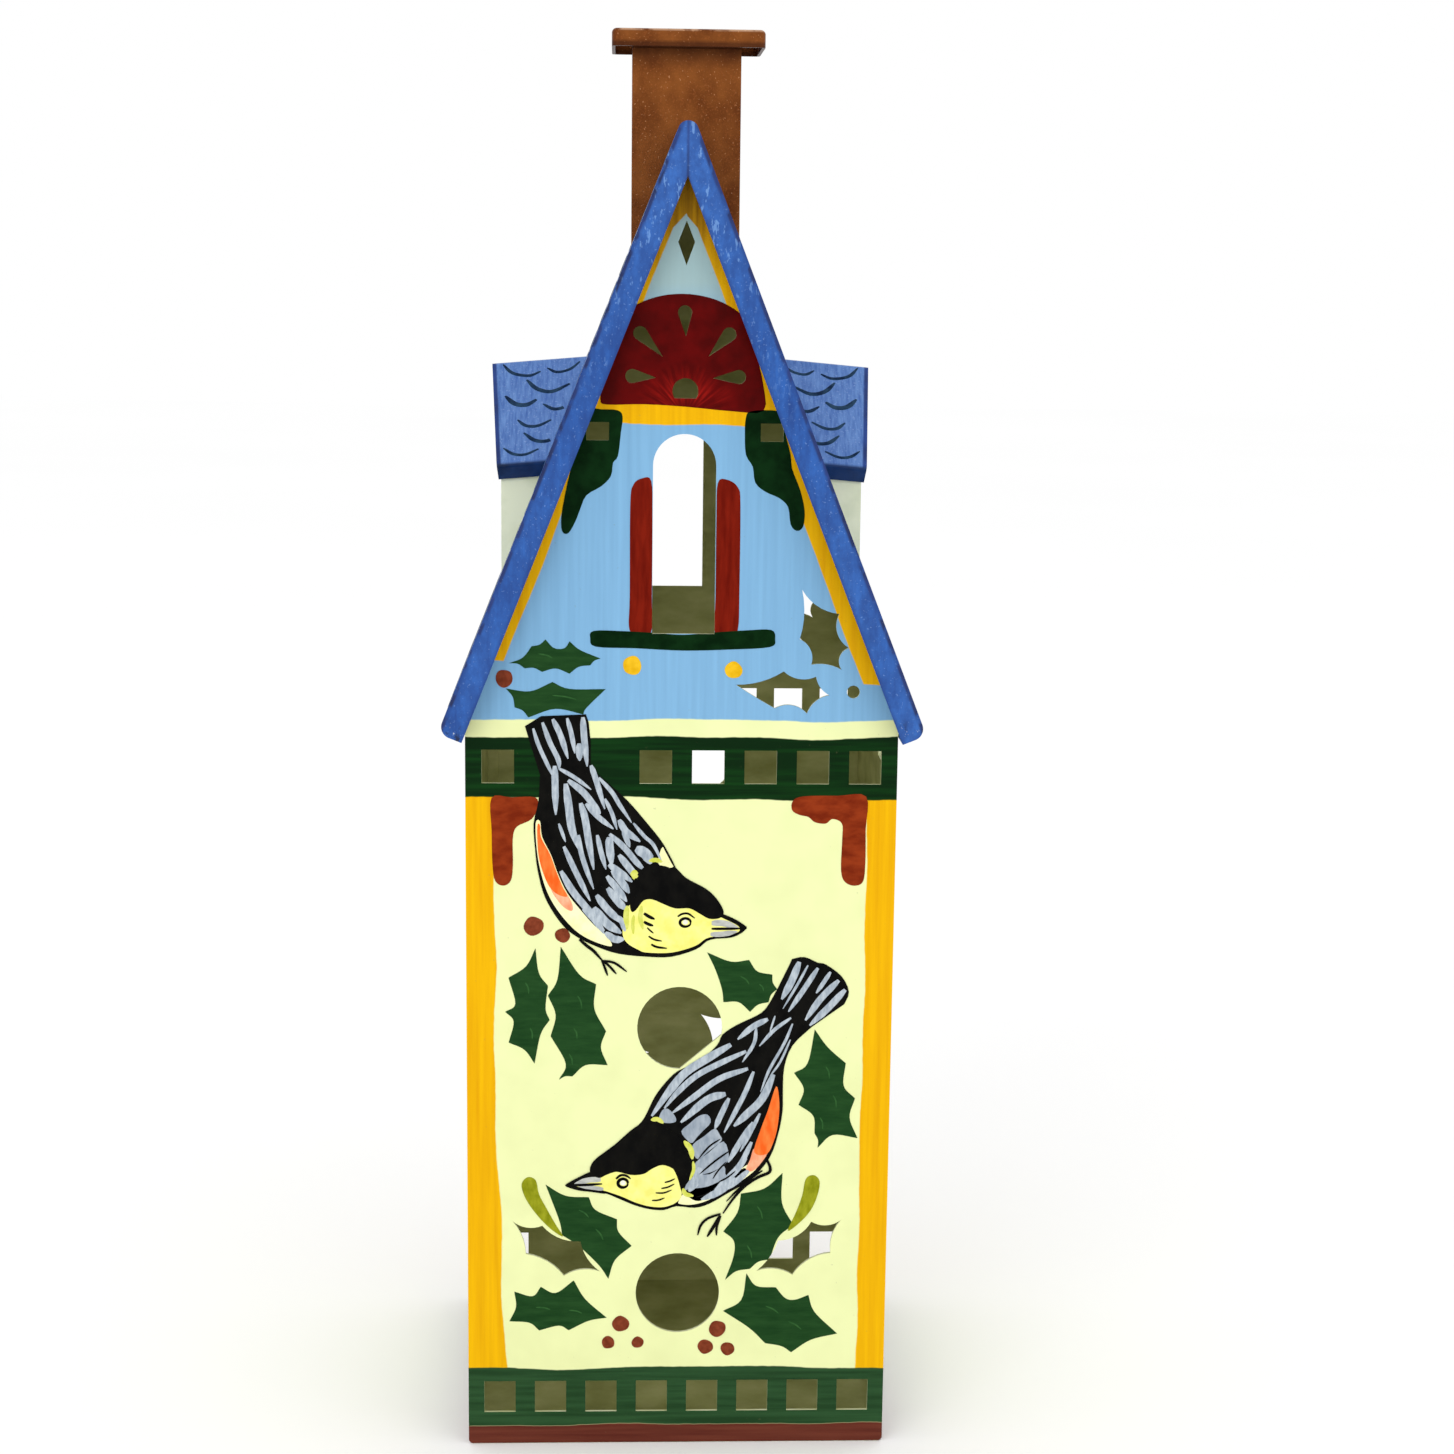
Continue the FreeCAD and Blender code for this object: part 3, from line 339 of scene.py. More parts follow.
class Paint:
    """A procedural finish, worked out from the place on the object in millimetres."""

    def __init__(self, name, roughness, gloss, metal=0.0):
        self.material = bpy.data.materials.new(name)
        self.material.use_nodes = True
        self.tree = self.material.node_tree
        self.tree.nodes.clear()
        self.shader = self.node("BsdfPrincipled")
        for socket, value in (("Roughness", roughness), ("Specular IOR Level", gloss), ("Metallic", metal)):
            self.shader.inputs[socket].default_value = value
        self.feed(self.node("OutputMaterial").inputs[0], self.shader.outputs[0])
        self.place = self.node("TexCoord").outputs["Object"]
        split = self.node("SeparateXYZ")
        self.feed(split.inputs[0], self.place)
        self.x, self.y, self.z = (self.times(axis, 1 / MM) for axis in split.outputs)
        self.colour = None

    def node(self, kind):
        return self.tree.nodes.new("ShaderNode" + kind)

    def feed(self, socket, value):
        """Links the socket to another node's output, or sets it to a plain value."""
        if isinstance(value, bpy.types.NodeSocket):
            self.tree.links.new(value, socket)
        else:
            socket.default_value = value

    def math(self, kind, a, b=0.0, clamp=False):
        node = self.node("Math")
        node.operation = kind
        node.use_clamp = clamp
        self.feed(node.inputs[0], a)
        self.feed(node.inputs[1], b)
        return node.outputs[0]

    def plus(self, a, b):
        return self.math("ADD", a, b)

    def minus(self, a, b):
        return self.math("SUBTRACT", a, b)

    def times(self, first, *others):
        for other in others:
            first = self.math("MULTIPLY", first, other)
        return first

    def most(self, a, b):
        return self.math("MAXIMUM", a, b)

    def off(self, value, middle=0.0):
        """How far the value is from the middle."""
        return self.math("ABSOLUTE", self.minus(value, middle))

    def above(self, value, edge, blur=0.3):
        """1 where value is over edge, 0 where it is under it."""
        return self.math("ADD", self.times(self.minus(value, edge), 1 / blur), 0.5, clamp=True)

    def below(self, value, edge, blur=0.3):
        return self.math("SUBTRACT", 1.0, self.above(value, edge, blur), clamp=True)

    def within(self, value, low, high):
        return self.times(self.above(value, low), self.below(value, high))

    def noise_at(self, place, detail, rough):
        noise = self.node("TexNoise")
        for socket, value in (("Scale", 1.0), ("Detail", detail), ("Roughness", rough), ("Vector", place)):
            self.feed(noise.inputs[socket], value)
        return noise.outputs["Fac"]

    def noise(self, size, detail=3.0, rough=0.55, seed=0.0):
        """Noise from 0 to 1 whose features are about that many millimetres in size."""
        place = self.node("Mapping")
        place.inputs["Scale"].default_value = [1 / (s * MM) for s in triple(size)]
        place.inputs["Location"].default_value = (seed, seed * 0.7, seed * 1.3)
        self.feed(place.inputs["Vector"], self.place)
        return self.noise_at(place.outputs[0], detail, rough)

    def spots(self, size, least, blur, detail=3.0, seed=0.0, rough=0.55):
        """1 where noise of that size is over least."""
        return self.above(self.noise(size, detail, rough, seed), least, blur)

    def mix(self, mask, under, over):
        node = self.node("Mix")
        node.data_type = "RGBA"
        for socket, value in (("Factor", mask), ("A", under), ("B", over)):
            self.feed(node.inputs[socket], rgb(*value) if isinstance(value, tuple) else value)
        return node.outputs["Result"]

    def tones(self, noise, dark, light, low=0.35, high=0.65):
        """dark where the noise is low and light where it is high."""
        spread = self.node("MapRange")
        for socket, value in (("From Min", low), ("From Max", high), ("Value", noise)):
            self.feed(spread.inputs[socket], value)
        return self.mix(spread.outputs["Result"], dark, light)

    def coat(self, tone, *masks):
        """Lays a tone over the colour so far, as strongly as the product of the masks."""
        self.colour = self.mix(self.times(*masks), self.colour, tone)

    def finish(self, height, depth, strength, patches, smooth, rough):
        """The material: bumps depth mm deep, and patches between the smooth and the rough value."""
        bump = self.node("Bump")
        for socket, value in (("Strength", strength), ("Distance", depth * MM), ("Height", height)):
            self.feed(bump.inputs[socket], value)
        uneven = self.plus(self.times(patches, rough - smooth), smooth)
        for socket, value in (("Base Color", self.colour), ("Normal", bump.outputs[0]),
        ("Roughness", uneven)):
            self.feed(self.shader.inputs[socket], value)
        return self.material


def brushed(name, dark, light, size, roughness=0.4, gloss=0.04, contrast=0.15, depth=0.06):
    """One colour of paint, with the streaks and unevenness that a brush leaves."""
    paint = Paint(name, roughness, gloss)
    broad = paint.noise(size)
    fine = paint.noise([s * 0.22 for s in triple(size)], 2.0, seed=3.0)
    paint.colour = paint.tones(broad, dark, light, 0.5 - contrast, 0.5 + contrast)
    return paint.finish(fine, depth, 0.4, broad, roughness - 0.08, roughness + 0.1)


def inner_tone(paint):
    """The olive coat of the inside faces, cloudy and a little streaked."""
    patchy = paint.noise((16.0, 16.0, 7.0), 4.0, seed=31.0)
    return paint.tones(patchy, (142, 144, 84), (182, 182, 124), 0.3, 0.7)


def below_ridge(paint, ridge):
    """How far a point lies below and inside the roof's slopes, for a ridge at that height."""
    fall = paint.minus(ridge, paint.plus(paint.z, paint.times(paint.off(paint.x), ROOF_RISE)))
    return paint.math("DIVIDE", fall, RISE_LENGTH)


# Heights where one colour of a wall meets the next.
RED_TOP = 5.8
LOW_GREEN_TOP = 24.0
STRIP_FOOT, STRIP_TOP = 23.0, 202.5
BAND_FOOT, BAND_TOP = 202.0, 220.3
SKY_FOOT = 225.5
RAKE_FOOT, RAKE_PEAK = 239.5, 381.2
BEAM_FOOT, BEAM_TOP, BEAM_END = 311.2, 317.6, 27.0


def gable_zones(paint, z, shift, streak, yellow):
    """Sky blue over the eaves, a beam, and yellow along the rakes, wider low down and on the right, turning
    darker amber towards the apex as painted shadow of the roof flange.
    """
    paint.coat(paint.tones(streak, (122, 170, 208), (130, 180, 218), 0.3, 0.7), paint.above(z, SKY_FOOT))
    paint.coat((184, 204, 184), paint.above(z, 344.0, 16.0), 0.6)
    low_down = paint.below(paint.z, 300.0, 60.0)
    right_side = paint.above(paint.x, 0.0)
    width = 1.7
    for more in (low_down, paint.times(paint.above(paint.z, 371.0, 8.0), 4.0), paint.times(right_side, 0.6),
                 paint.times(right_side, low_down)):
        width = paint.plus(width, more)
    reach = paint.plus(below_ridge(paint, RAKE_PEAK), paint.times(shift, 0.4))
    slanted = paint.plus(paint.z, paint.times(paint.x, 0.06))
    # Darker amber towards the apex is painted shadow cast by the roof flange that overhangs the gable.
    flange_shadow_amber = paint.tones(streak, (150, 104, 8), (206, 150, 14))
    rake_yellow_and_shadow = paint.mix(paint.above(z, 358.0, 16.0), yellow, flange_shadow_amber)
    paint.coat(rake_yellow_and_shadow, paint.above(paint.minus(width, reach), 0.0), paint.above(slanted, RAKE_FOOT))
    paint.coat(yellow, paint.within(z, BEAM_FOOT, BEAM_TOP), paint.below(paint.off(paint.x), BEAM_END))


def wall_paint(name, across, face, rise=0.0):
    """The zones of a wall that runs along the axis across. Its outer face is at face on the other axis."""
    paint = Paint(name, 0.38, 0.06)
    gabled = across == "x"
    u, inward = (paint.x, paint.y) if gabled else (paint.y, paint.x)
    strip, corner = (55.0, 62.4) if gabled else (50.0, 55.6)
    streak_flat = paint.noise((40.0, 1.6, 1.6) if gabled else (1.6, 40.0, 1.6))
    streak_tall = paint.noise((1.8, 1.8, 50.0), seed=2.0)
    cloud = paint.noise(14.0, 2.0, seed=5.0)
    waver = paint.times(paint.minus(paint.noise(26.0, 0.0, seed=9.0), 0.5), 2.4)
    ragged = paint.times(paint.minus(paint.noise(3.0, 1.0, seed=1.0), 0.5), 0.35)
    shift = paint.plus(waver, ragged)
    z = paint.plus(paint.z, shift)
    v = paint.plus(u, shift)
    paint.colour = paint.tones(cloud, (228, 234, 172), (236, 242, 180), 0.2, 0.6)
    yellow = paint.tones(streak_tall, (226, 164, 0), (240, 184, 2), 0.3, 0.66)
    flare = paint.times(paint.below(paint.z, 60.0, 90.0), 3.2)
    strips = paint.most(paint.below(paint.minus(v, flare), -strip), paint.above(v, strip))
    paint.coat(yellow, strips, paint.within(z, STRIP_FOOT, STRIP_TOP))
    deep_green = paint.tones(streak_flat, (4, 36, 8), (14, 62, 18), 0.42, 0.78)
    paint.coat(deep_green, paint.within(z, BAND_FOOT, BAND_TOP))
    low_green = paint.tones(streak_flat, (30, 62, 32), (44, 80, 46))
    paint.coat(low_green, paint.within(z, RED_TOP, LOW_GREEN_TOP + rise))
    paint.coat(paint.tones(streak_flat, (92, 40, 30), (110, 54, 40)), paint.below(z, RED_TOP))
    if gabled:
        gable_zones(paint, z, shift, streak_tall, yellow)
    paint.coat((120, 112, 84), paint.spots(1.4, 0.74, 0.06, 4.0, 21.0), 0.25)
    depth = paint.off(inward, face)
    raw_edge = paint.tones(cloud, (206, 210, 160), (232, 236, 200))
    paint.coat(raw_edge, paint.above(depth, 0.05, 0.04), paint.below(paint.off(u), corner, 0.1))
    paint.coat(inner_tone(paint), paint.above(depth, 0.94, 0.04))
    return paint.finish(paint.plus(paint.times(streak_flat, 0.5), streak_tall), 0.05, 0.3, cloud, 0.32, 0.48)


def floor_paint():
    paint = Paint("paint_inside", 0.6, 0.15)
    paint.colour = inner_tone(paint)
    return paint.finish(paint.noise(0.8, 2.0), 0.05, 0.3, paint.noise(9.0, 4.0), 0.5, 0.7)


def roof_paint():
    """Streaky blue with painted glints, painted shade where the gable flanges roll over and along their
    outer fold, chipped at the eaves, and olive inside.
    """
    paint = Paint("paint_roof", 0.34, 0.3)
    cloud = paint.noise(10.0)
    streak = paint.noise((2.2, 1.0, 14.0), seed=4.0)
    glint_speck = paint.noise(0.7, 2.0, seed=7.0)
    paint.colour = paint.tones(streak, (12, 60, 134), (32, 90, 172), 0.3, 0.7)
    patches = paint.spots((34.0, 34.0, 60.0), 0.5, 0.3, 1.0, 15.0)
    higher = paint.above(paint.z, 350.0, 60.0)
    paint.coat((62, 116, 196), paint.most(paint.times(patches, 0.4), paint.times(higher, 0.5)))
    # Pale specks laid over the blue are painted glints.
    paint.coat((138, 176, 232), paint.above(glint_speck, 0.68, 0.05), 0.35)
    out = below_ridge(paint, ROOF_RIDGE)
    gable = paint.above(paint.off(paint.y), roof_high.y - 1.4, 0.2)
    # Darker navy at both edges of the gable flange is painted shade of its rounded fold.
    paint.coat((10, 42, 108), paint.above(paint.off(out, 3.9), 3.1, 1.6), gable, 0.7)
    paint.coat((14, 54, 124), paint.spots((3.0, 3.0, 4.5), 0.5, 0.2, 4.0, 18.0, rough=0.7), gable, 0.4)
    # Pale spots towards the apex are painted glints.
    glint = paint.spots((1.2, 1.2, 3.4), 0.64, 0.05, seed=28.0)
    paint.coat((128, 172, 228), glint, paint.above(paint.z, 340.0, 60.0), 0.5)
    dark = paint.tones(cloud, (14, 26, 70), (30, 52, 116))
    paint.coat(dark, paint.below(paint.off(paint.x), 0.35, 0.4), gable, 0.6)
    # A broken dark line along the flange's outer fold is painted shade where the fold turns away from the
    # light.
    broken = paint.spots((5.0, 5.0, 8.0), 0.47, 0.08, 2.0, 12.0)
    paint.coat(dark, paint.below(out, 1.0, 0.5), broken, gable, 0.9)
    tip = paint.below(paint.z, 224.0, 8.0)
    paint.coat((206, 212, 214), tip, paint.spots(1.5, 0.68, 0.04, 2.0, 40.0), gable)
    paint.coat((14, 24, 52), tip, paint.spots(2.2, 0.6, 0.1, seed=44.0), gable)
    between_gables = paint.below(paint.off(paint.y), roof_high.y - 1.6, 0.2)
    under_ridge = paint.below(paint.z, roof_high.z - 2.6, 0.3)
    over_eaves = paint.above(paint.z, roof_low.z + 7.5, 0.3)
    paint.coat(inner_tone(paint), paint.above(out, 0.6, 0.2), between_gables, under_ridge, over_eaves)
    return paint.finish(paint.plus(streak, paint.times(glint_speck, 0.7)), 0.07, 0.45, cloud, 0.26, 0.44)


def dormer_paint():
    """Paler blue with painted glints, and navy round the open end and teal along the eaves as painted shade
    on the flanges that face away from the light.
    """
    paint = Paint("paint_dormer_roof", 0.34, 0.25)
    cloud = paint.noise(8.0)
    streak = paint.noise((0.9, 5.0, 8.0), seed=4.0)
    glint_speck = paint.noise(0.6, 2.0, seed=7.0)
    paint.colour = paint.tones(streak, (66, 106, 174), (104, 144, 204), 0.3, 0.7)
    # Pale specks laid over the blue are painted glints.
    paint.coat((170, 196, 240), paint.above(glint_speck, 0.64, 0.05), 0.3)
    root, root_height = DORMER_ROOT
    slant = math.tan(DORMER_DROP)
    out = paint.off(paint.x)
    fall = paint.minus(paint.minus(root_height, paint.times(paint.minus(out, root), slant)), paint.z)
    open_end = box_mm("right_dormer_roof")[1].x - 1.2
    # Navy on the flange at the open end and teal on the eave hem are painted shade, darker where these faces
    # turn away from the light.
    end_flange_shade = paint.tones(cloud, (14, 44, 104), (28, 64, 136))
    paint.coat(end_flange_shade, paint.above(paint.plus(out, paint.times(fall, slant)), open_end, 0.5))
    paint.coat(paint.tones(cloud, (10, 36, 72), (24, 56, 104)), paint.above(fall, 29.4, 0.8))
    return paint.finish(paint.plus(streak, paint.times(glint_speck, 0.7)), 0.07, 0.45, cloud, 0.26, 0.44)


def dormer_wall_paint():
    paint = Paint("paint_dormer_walls", 0.42, 0.22)
    cloud = paint.noise(9.0)
    paint.colour = paint.tones(cloud, (230, 236, 196), (246, 250, 212), 0.3, 0.6)
    return paint.finish(paint.noise((1.4, 1.4, 9.0), seed=3.0), 0.05, 0.35, cloud, 0.36, 0.5)


def copper_paint():
    """Grained brown copper with bright glitter flecks painted as sparkle, a painted shadow where the shaft
    meets the cap, painted shade at the foot of the cap's rim, and a painted highlight along the rim's top
    edge.
    """
    paint = Paint("paint_copper", 0.42, 0.2, 0.65)
    cloud = paint.noise((9.0, 9.0, 12.0), 4.0)
    grain = paint.noise(0.55, 2.0, rough=0.8, seed=2.0)
    paint.colour = paint.tones(cloud, (98, 48, 12), (140, 80, 32), 0.3, 0.7)
    paint.coat((160, 90, 44), paint.above(grain, 0.6, 0.1), 0.4)
    # Bright flecks: the glitter in the paint, lightened as painted sparkle.
    paint.coat((206, 146, 100), paint.spots(0.8, 0.7, 0.04, 1.0, 6.0, rough=0.9), 0.6)
    over_cap = paint.minus(paint.z, cap_low.z)
    # Painted shadow of the cap on the top of the shaft.
    paint.coat((58, 26, 10), paint.above(over_cap, -3.5, 5.0), paint.below(over_cap, 0.2, 0.4), 0.55)
    aside = paint.off(paint.x, (cap_low.x + cap_high.x) / 2)
    rim = paint.most(paint.above(aside, (cap_high.x - cap_low.x) / 2 - 1.2, 0.8),
                     paint.above(paint.off(paint.y), cap_high.y - 1.2, 0.8))
    # A painted highlight along the top edge of the cap's rim.
    top = paint.above(paint.z, cap_high.z - 0.6, 0.5)
    paint.coat((224, 184, 150), top, paint.above(cloud, 0.44, 0.1), rim, 0.6)
    # Painted shade along the foot of the cap's rim.
    paint.coat((54, 22, 8), paint.above(over_cap, -0.1, 0.1), paint.below(over_cap, 1.5, 1.0), 0.7)
    return paint.finish(grain, 0.08, 0.6, grain, 0.28, 0.56)


def metal_paint(name, dark, light, roughness, worn=None):
    paint = Paint(name, roughness, 0.5, 1.0)
    scratch = paint.noise((0.25, 0.25, 6.0), 2.0, seed=5.0)
    paint.colour = paint.tones(paint.noise(3.0, 4.0), dark, light)
    if worn:
        paint.coat(worn, paint.spots(1.0, 0.68, 0.08, 4.0, 8.0))
    return paint.finish(scratch, 0.03, 0.35, scratch, roughness - 0.1, roughness + 0.15)


def door_paint():
    """Red outside and olive inside."""
    paint = Paint("paint_door", 0.4, 0.1)
    streak = paint.noise((2.0, 2.0, 30.0))
    paint.colour = paint.tones(streak, (108, 20, 8), (138, 36, 16), 0.3, 0.7)
    paint.coat(inner_tone(paint), paint.below(paint.y, door_high.y - 0.05, 0.04))
    return paint.finish(streak, 0.05, 0.3, paint.noise(8.0, 2.0, seed=3.0), 0.32, 0.48)


def fan_paint():
    """Deep red, brushed outward from the foot, where the streaks are bright and thin out upwards."""
    paint = Paint("paint_fan", 0.36, 0.05)
    up = paint.minus(paint.z, 314.0)
    reach = paint.math("SQRT", paint.plus(paint.times(paint.x, paint.x), paint.times(up, up)))
    polar = paint.node("CombineXYZ")
    paint.feed(polar.inputs[0], paint.times(paint.math("ARCTAN2", paint.x, up), 9.0))
    paint.feed(polar.inputs[1], paint.times(reach, 0.09))
    rays = paint.noise_at(polar.outputs[0], 3.0, 0.5)
    cloud = paint.noise(6.0, 2.0)
    paint.colour = paint.tones(cloud, (76, 0, 0), (96, 2, 2))
    paint.coat(paint.tones(rays, (96, 2, 2), (172, 26, 18), 0.44, 0.72),
               paint.below(reach, 11.0, 9.0), paint.above(reach, 3.4, 3.0), paint.above(up, 3.5, 5.0))
    return paint.finish(rays, 0.06, 0.4, cloud, 0.3, 0.45)


finishes = {
    "front_panel": wall_paint("paint_front", "x", front_low.y),
    "rear_panel": wall_paint("paint_rear", "x", rear_high.y, rise=3.0),
    "right_side_panel": wall_paint("paint_right", "y", right_high.x),
    "left_side_panel": wall_paint("paint_left", "y", left_low.x),
    "rear_door": door_paint(),
    "floor_pan": floor_paint(),
    "roof": roof_paint(),
    "door_knob": metal_paint("brass", (176, 128, 52), (214, 168, 84), 0.28),
    "turn_button": brushed("paint_button", (24, 62, 26), (44, 92, 40), (2.0, 2.0, 6.0)),
}
steel = metal_paint("steel_zinc", (140, 142, 140), (166, 168, 165), 0.38, (112, 104, 92))
for shared, words in ((copper_paint(), ("chimney",)), (dormer_paint(), ("dormer_roof",)),
                      (dormer_wall_paint(), ("dormer_walls",)), (steel, ("hinge", "rivets", "pivot"))):
    finishes.update({node: shared for node in NODES if any(word in node for word in words)})
for node, material in finishes.items():
    for material_slot in NODES[node].material_slots:
        material_slot.material = material

fan_red = fan_paint()
leaf_green = brushed("paint_leaf", (18, 54, 22), (38, 76, 36), (9.0, 9.0, 1.6), contrast=0.3)
leaf_light = brushed("paint_leaf_light", (40, 82, 40), (54, 98, 50), 2.0)
dark_green = brushed("paint_foliage", (0, 28, 4), (8, 44, 14), 5.0)
berry_red = brushed("paint_berry", (108, 46, 26), (136, 64, 40), 2.0)
bracket_red = brushed("paint_bracket", (116, 34, 8), (146, 54, 20), (6.0, 6.0, 3.0))
shutter_red = brushed("paint_shutter", (102, 14, 2), (126, 26, 8), (2.0, 2.0, 12.0))
yellow_dab = brushed("paint_yellow", (224, 172, 16), (244, 196, 40), 3.0)
black = brushed("paint_black", (2, 2, 2), (14, 13, 10), (4.0, 4.0, 6.0), gloss=0.05)
feather = brushed("paint_feather", (152, 164, 176), (190, 200, 208), (1.0, 1.0, 3.0))
mantle = brushed("paint_mantle", (138, 150, 164), (172, 182, 192), (1.4, 1.4, 4.0), contrast=0.2)
face_yellow = brushed("paint_face", (240, 236, 122), (250, 248, 150), 4.0)
belly_cream = brushed("paint_belly", (240, 238, 176), (248, 248, 200), 4.0)
orange = brushed("paint_orange", (244, 98, 30), (250, 132, 62), (2.0, 2.0, 6.0))
salmon = brushed("paint_salmon", (242, 140, 100), (244, 186, 148), (2.0, 2.0, 5.0))
nape = brushed("paint_nape", (196, 204, 60), (226, 228, 124), 2.0, contrast=0.25)
beak_grey = brushed("paint_beak", (166, 168, 166), (196, 198, 190), (3.0, 3.0, 1.0))
stem_green = brushed("paint_stem", (128, 134, 14), (156, 160, 34), (2.0, 2.0, 4.0))
teal_line = brushed("paint_shingle_line", (16, 38, 66), (44, 72, 96), 3.0)
white_paint = brushed("paint_white", (228, 228, 214), (246, 246, 234), 2.0)

# ---------------------------------------------------------------- holly and berries on the front
front_leaves = [
    [(-43, 156.5), (-51, 147.5), (-49, 139.5), (-52, 137), (-49.5, 134), (-51, 127.5), (-43.3, 121),
     (-41.5, 130), (-38.8, 134.5), (-40, 138), (-39.3, 145), (-42, 149)],
    [(-35.5, 157), (-30, 148.5), (-25, 145.5), (-25.5, 138), (-22, 131), (-23.5, 126), (-21.5, 120.5),
     (-28, 120.5), (-32, 117), (-36, 116), (-34, 121), (-38.5, 129.5), (-37, 136), (-39.3, 142),
     (-36.5, 147)],
    [(8, 155.3), (15, 152.5), (20.5, 153), (23, 149.5), (27.5, 148.5), (29, 144), (26.5, 140), (21, 137),
     (17.5, 140), (13, 140), (12.5, 144), (10.5, 150)],
    [(40.5, 131.5), (44.5, 126), (50, 121), (49.5, 114), (53, 110), (51.5, 104), (54, 97.5), (46.5, 98.5),
     (42, 94.5), (41, 99), (40.5, 104.5), (36, 108), (37.5, 113), (34.5, 118), (38.5, 121)],
    [(-40, 83), (-34, 79.5), (-27, 79), (-25, 75), (-18.5, 72), (-18, 68), (-14, 63.5), (-19, 59), (-21, 53),
     (-24, 57.5), (-30, 63.5), (-35, 67), (-36, 72)],
    [(31.5, 86.5), (19, 80), (18, 74), (13.8, 68), (17, 65), (17, 60), (14.5, 52.5), (22, 56), (28, 59),
     (30.5, 66), (35, 70), (31.5, 77)],
    [(-49.5, 49), (-44, 47.5), (-41.5, 50.5), (-37, 48.5), (-31.5, 52.5), (-28, 46.5), (-21.5, 40.5),
     (-27, 39.5), (-33, 36.5), (-36, 38), (-42, 36.5), (-45, 39), (-51, 39.5)],
    [(21, 54.5), (24, 50.5), (30, 50), (33, 46.5), (36, 46), (40, 47.5), (42, 42), (49, 35), (41, 33),
     (35, 29), (32, 31), (27, 32), (22, 37), (14, 42.5), (19.5, 46)],
    [(-50.5, 242), (-44, 247), (-40, 249), (-37.5, 246.5), (-34.5, 246.5), (-33, 248.5), (-30, 246),
     (-24, 243.5), (-27, 241.5), (-33, 239), (-37, 240.5), (-41, 239.5), (-46, 240.5)],
    [(-51.5, 234.5), (-38, 236.5), (-33, 234.5), (-22.5, 234.5), (-28, 229), (-29, 227), (-45, 226),
    (-49, 229)],
]
painted("front_leaves", FRONT, [holly(leaf) for leaf in front_leaves], 0.08, leaf_green)
berries = [(-52, 237.5, 2.6), (-43.5, 163.3, 2.9), (-35, 160.5, 2.2), (-17.2, 38.5, 2.5), (-21, 32.5, 2.0),
           (-12, 32.5, 1.8), (12.3, 36.8, 2.6), (8.7, 31, 2.3), (15.5, 30.3, 2.1)]
painted("front_berries", FRONT, [disc(*b) for b in berries], 0.12, berry_red)
painted("front_stems", FRONT, [
    soft([(-47.2, 83.4), (-45.4, 85.4), (-43, 84.4), (-42, 80), (-39.8, 75.6), (-37, 70.4), (-34.8, 66.6),
          (-38, 68.6), (-41.4, 72), (-44.6, 76.2), (-46.6, 80)], 4),
    soft([(42.8, 83.8), (41, 85.8), (38.6, 84.6), (37.6, 79.4), (35.8, 74), (33.4, 68.2), (36.8, 70.6),
          (40.2, 74.6), (42.2, 79.4)], 4)], 0.1, stem_green)
vein_marks = [((-30.5, 142), (-29.2, 138)), ((-31.6, 132), (-30.6, 128.6)), ((-33, 124), (-32, 120.6)),
              ((-46, 146), (-45, 142.6)), ((-44.6, 132), (-44, 128.6)), ((18, 148), (20.6, 145.6)),
              ((23.6, 145.6), (25, 143.4)), ((44, 120), (45.2, 116.2)), ((46.4, 111), (47.4, 107)),
              ((42.6, 104), (43.4, 100.4)), ((-30, 75), (-27, 72.6)), ((-25, 69), (-22.6, 65.4)),
              ((24, 76), (25.6, 72)), ((21, 63.6), (22.6, 59.4)), ((-43, 44), (-38.6, 43.2)),
              ((-33, 43), (-29, 42)), ((27, 44), (31, 41.6)), ((34, 39), (38, 36.4)),
              ((-38, 232.6), (-31, 231.4)), ((-42, 244.8), (-38, 243.6))]
bent_marks = [([a, ((a[0] + b[0]) / 2 + 0.3, (a[1] + b[1]) / 2 + 0.2), b], 0.45) for a, b in vein_marks]
stroked("front_leaf_marks", FRONT, bent_marks, 0.085, leaf_light, relief=0.04)

# ---------------------------------------------------------------- gable decoration
fan_outline = ([(-24.3, 318.5), (-23.6, 324), (-21, 332)]
               + [(22.8 * math.cos(a) - 1.0, 331 + 17.5 * math.sin(a))
                  for a in (math.radians(d) for d in range(165, 14, -15))]
               + [(20.6, 331), (22.3, 323), (22.5, 315.6), (14, 315.4), (0, 316.6), (-12, 317.2),
                  (-22.5, 317)])
painted("fan", FRONT, [soft(fan_outline, 3)], 0.08, fan_red)
painted("foliage", FRONT, [
    soft([(-30, 315.4), (-24, 315.6), (-19.4, 315.4), (-17.9, 313.6), (-18.4, 309), (-19.2, 302.4),
          (-20.6, 300.4), (-21.2, 296.6), (-24, 293.6), (-28.2, 291), (-30, 287), (-31.4, 283.4),
          (-33.4, 280), (-35.2, 280.6), (-35.4, 285), (-34.2, 292), (-32.6, 299), (-31, 305)], 3),
    soft([(18.6, 315.4), (23.6, 315.8), (27.6, 315), (28.6, 310), (30.4, 303.4), (31, 299), (33.4, 293),
          (34.8, 287), (34.4, 282.4), (32.6, 281.2), (30.8, 283), (30, 288), (27.4, 290.6), (23.4, 292.4),
          (20.4, 295), (19.6, 299.6), (17.6, 303), (17.2, 309), (17.4, 313.4)], 3)], 0.08, dark_green)
painted("shutters", FRONT, [
    soft([(-9.4, 251.2), (-9.2, 262), (-9.2, 285), (-9.6, 295.2), (-12.2, 296), (-14.8, 294), (-15.6, 288),
          (-15.6, 262), (-15.8, 253), (-14.2, 251)], 4),
    soft([(9.3, 251), (9.3, 262), (9.3, 285), (9.6, 294.8), (12.2, 295.8), (15.4, 293.6), (16.2, 288),
          (16.2, 262), (16, 253), (14.6, 251)], 4)], 0.09, shutter_red)
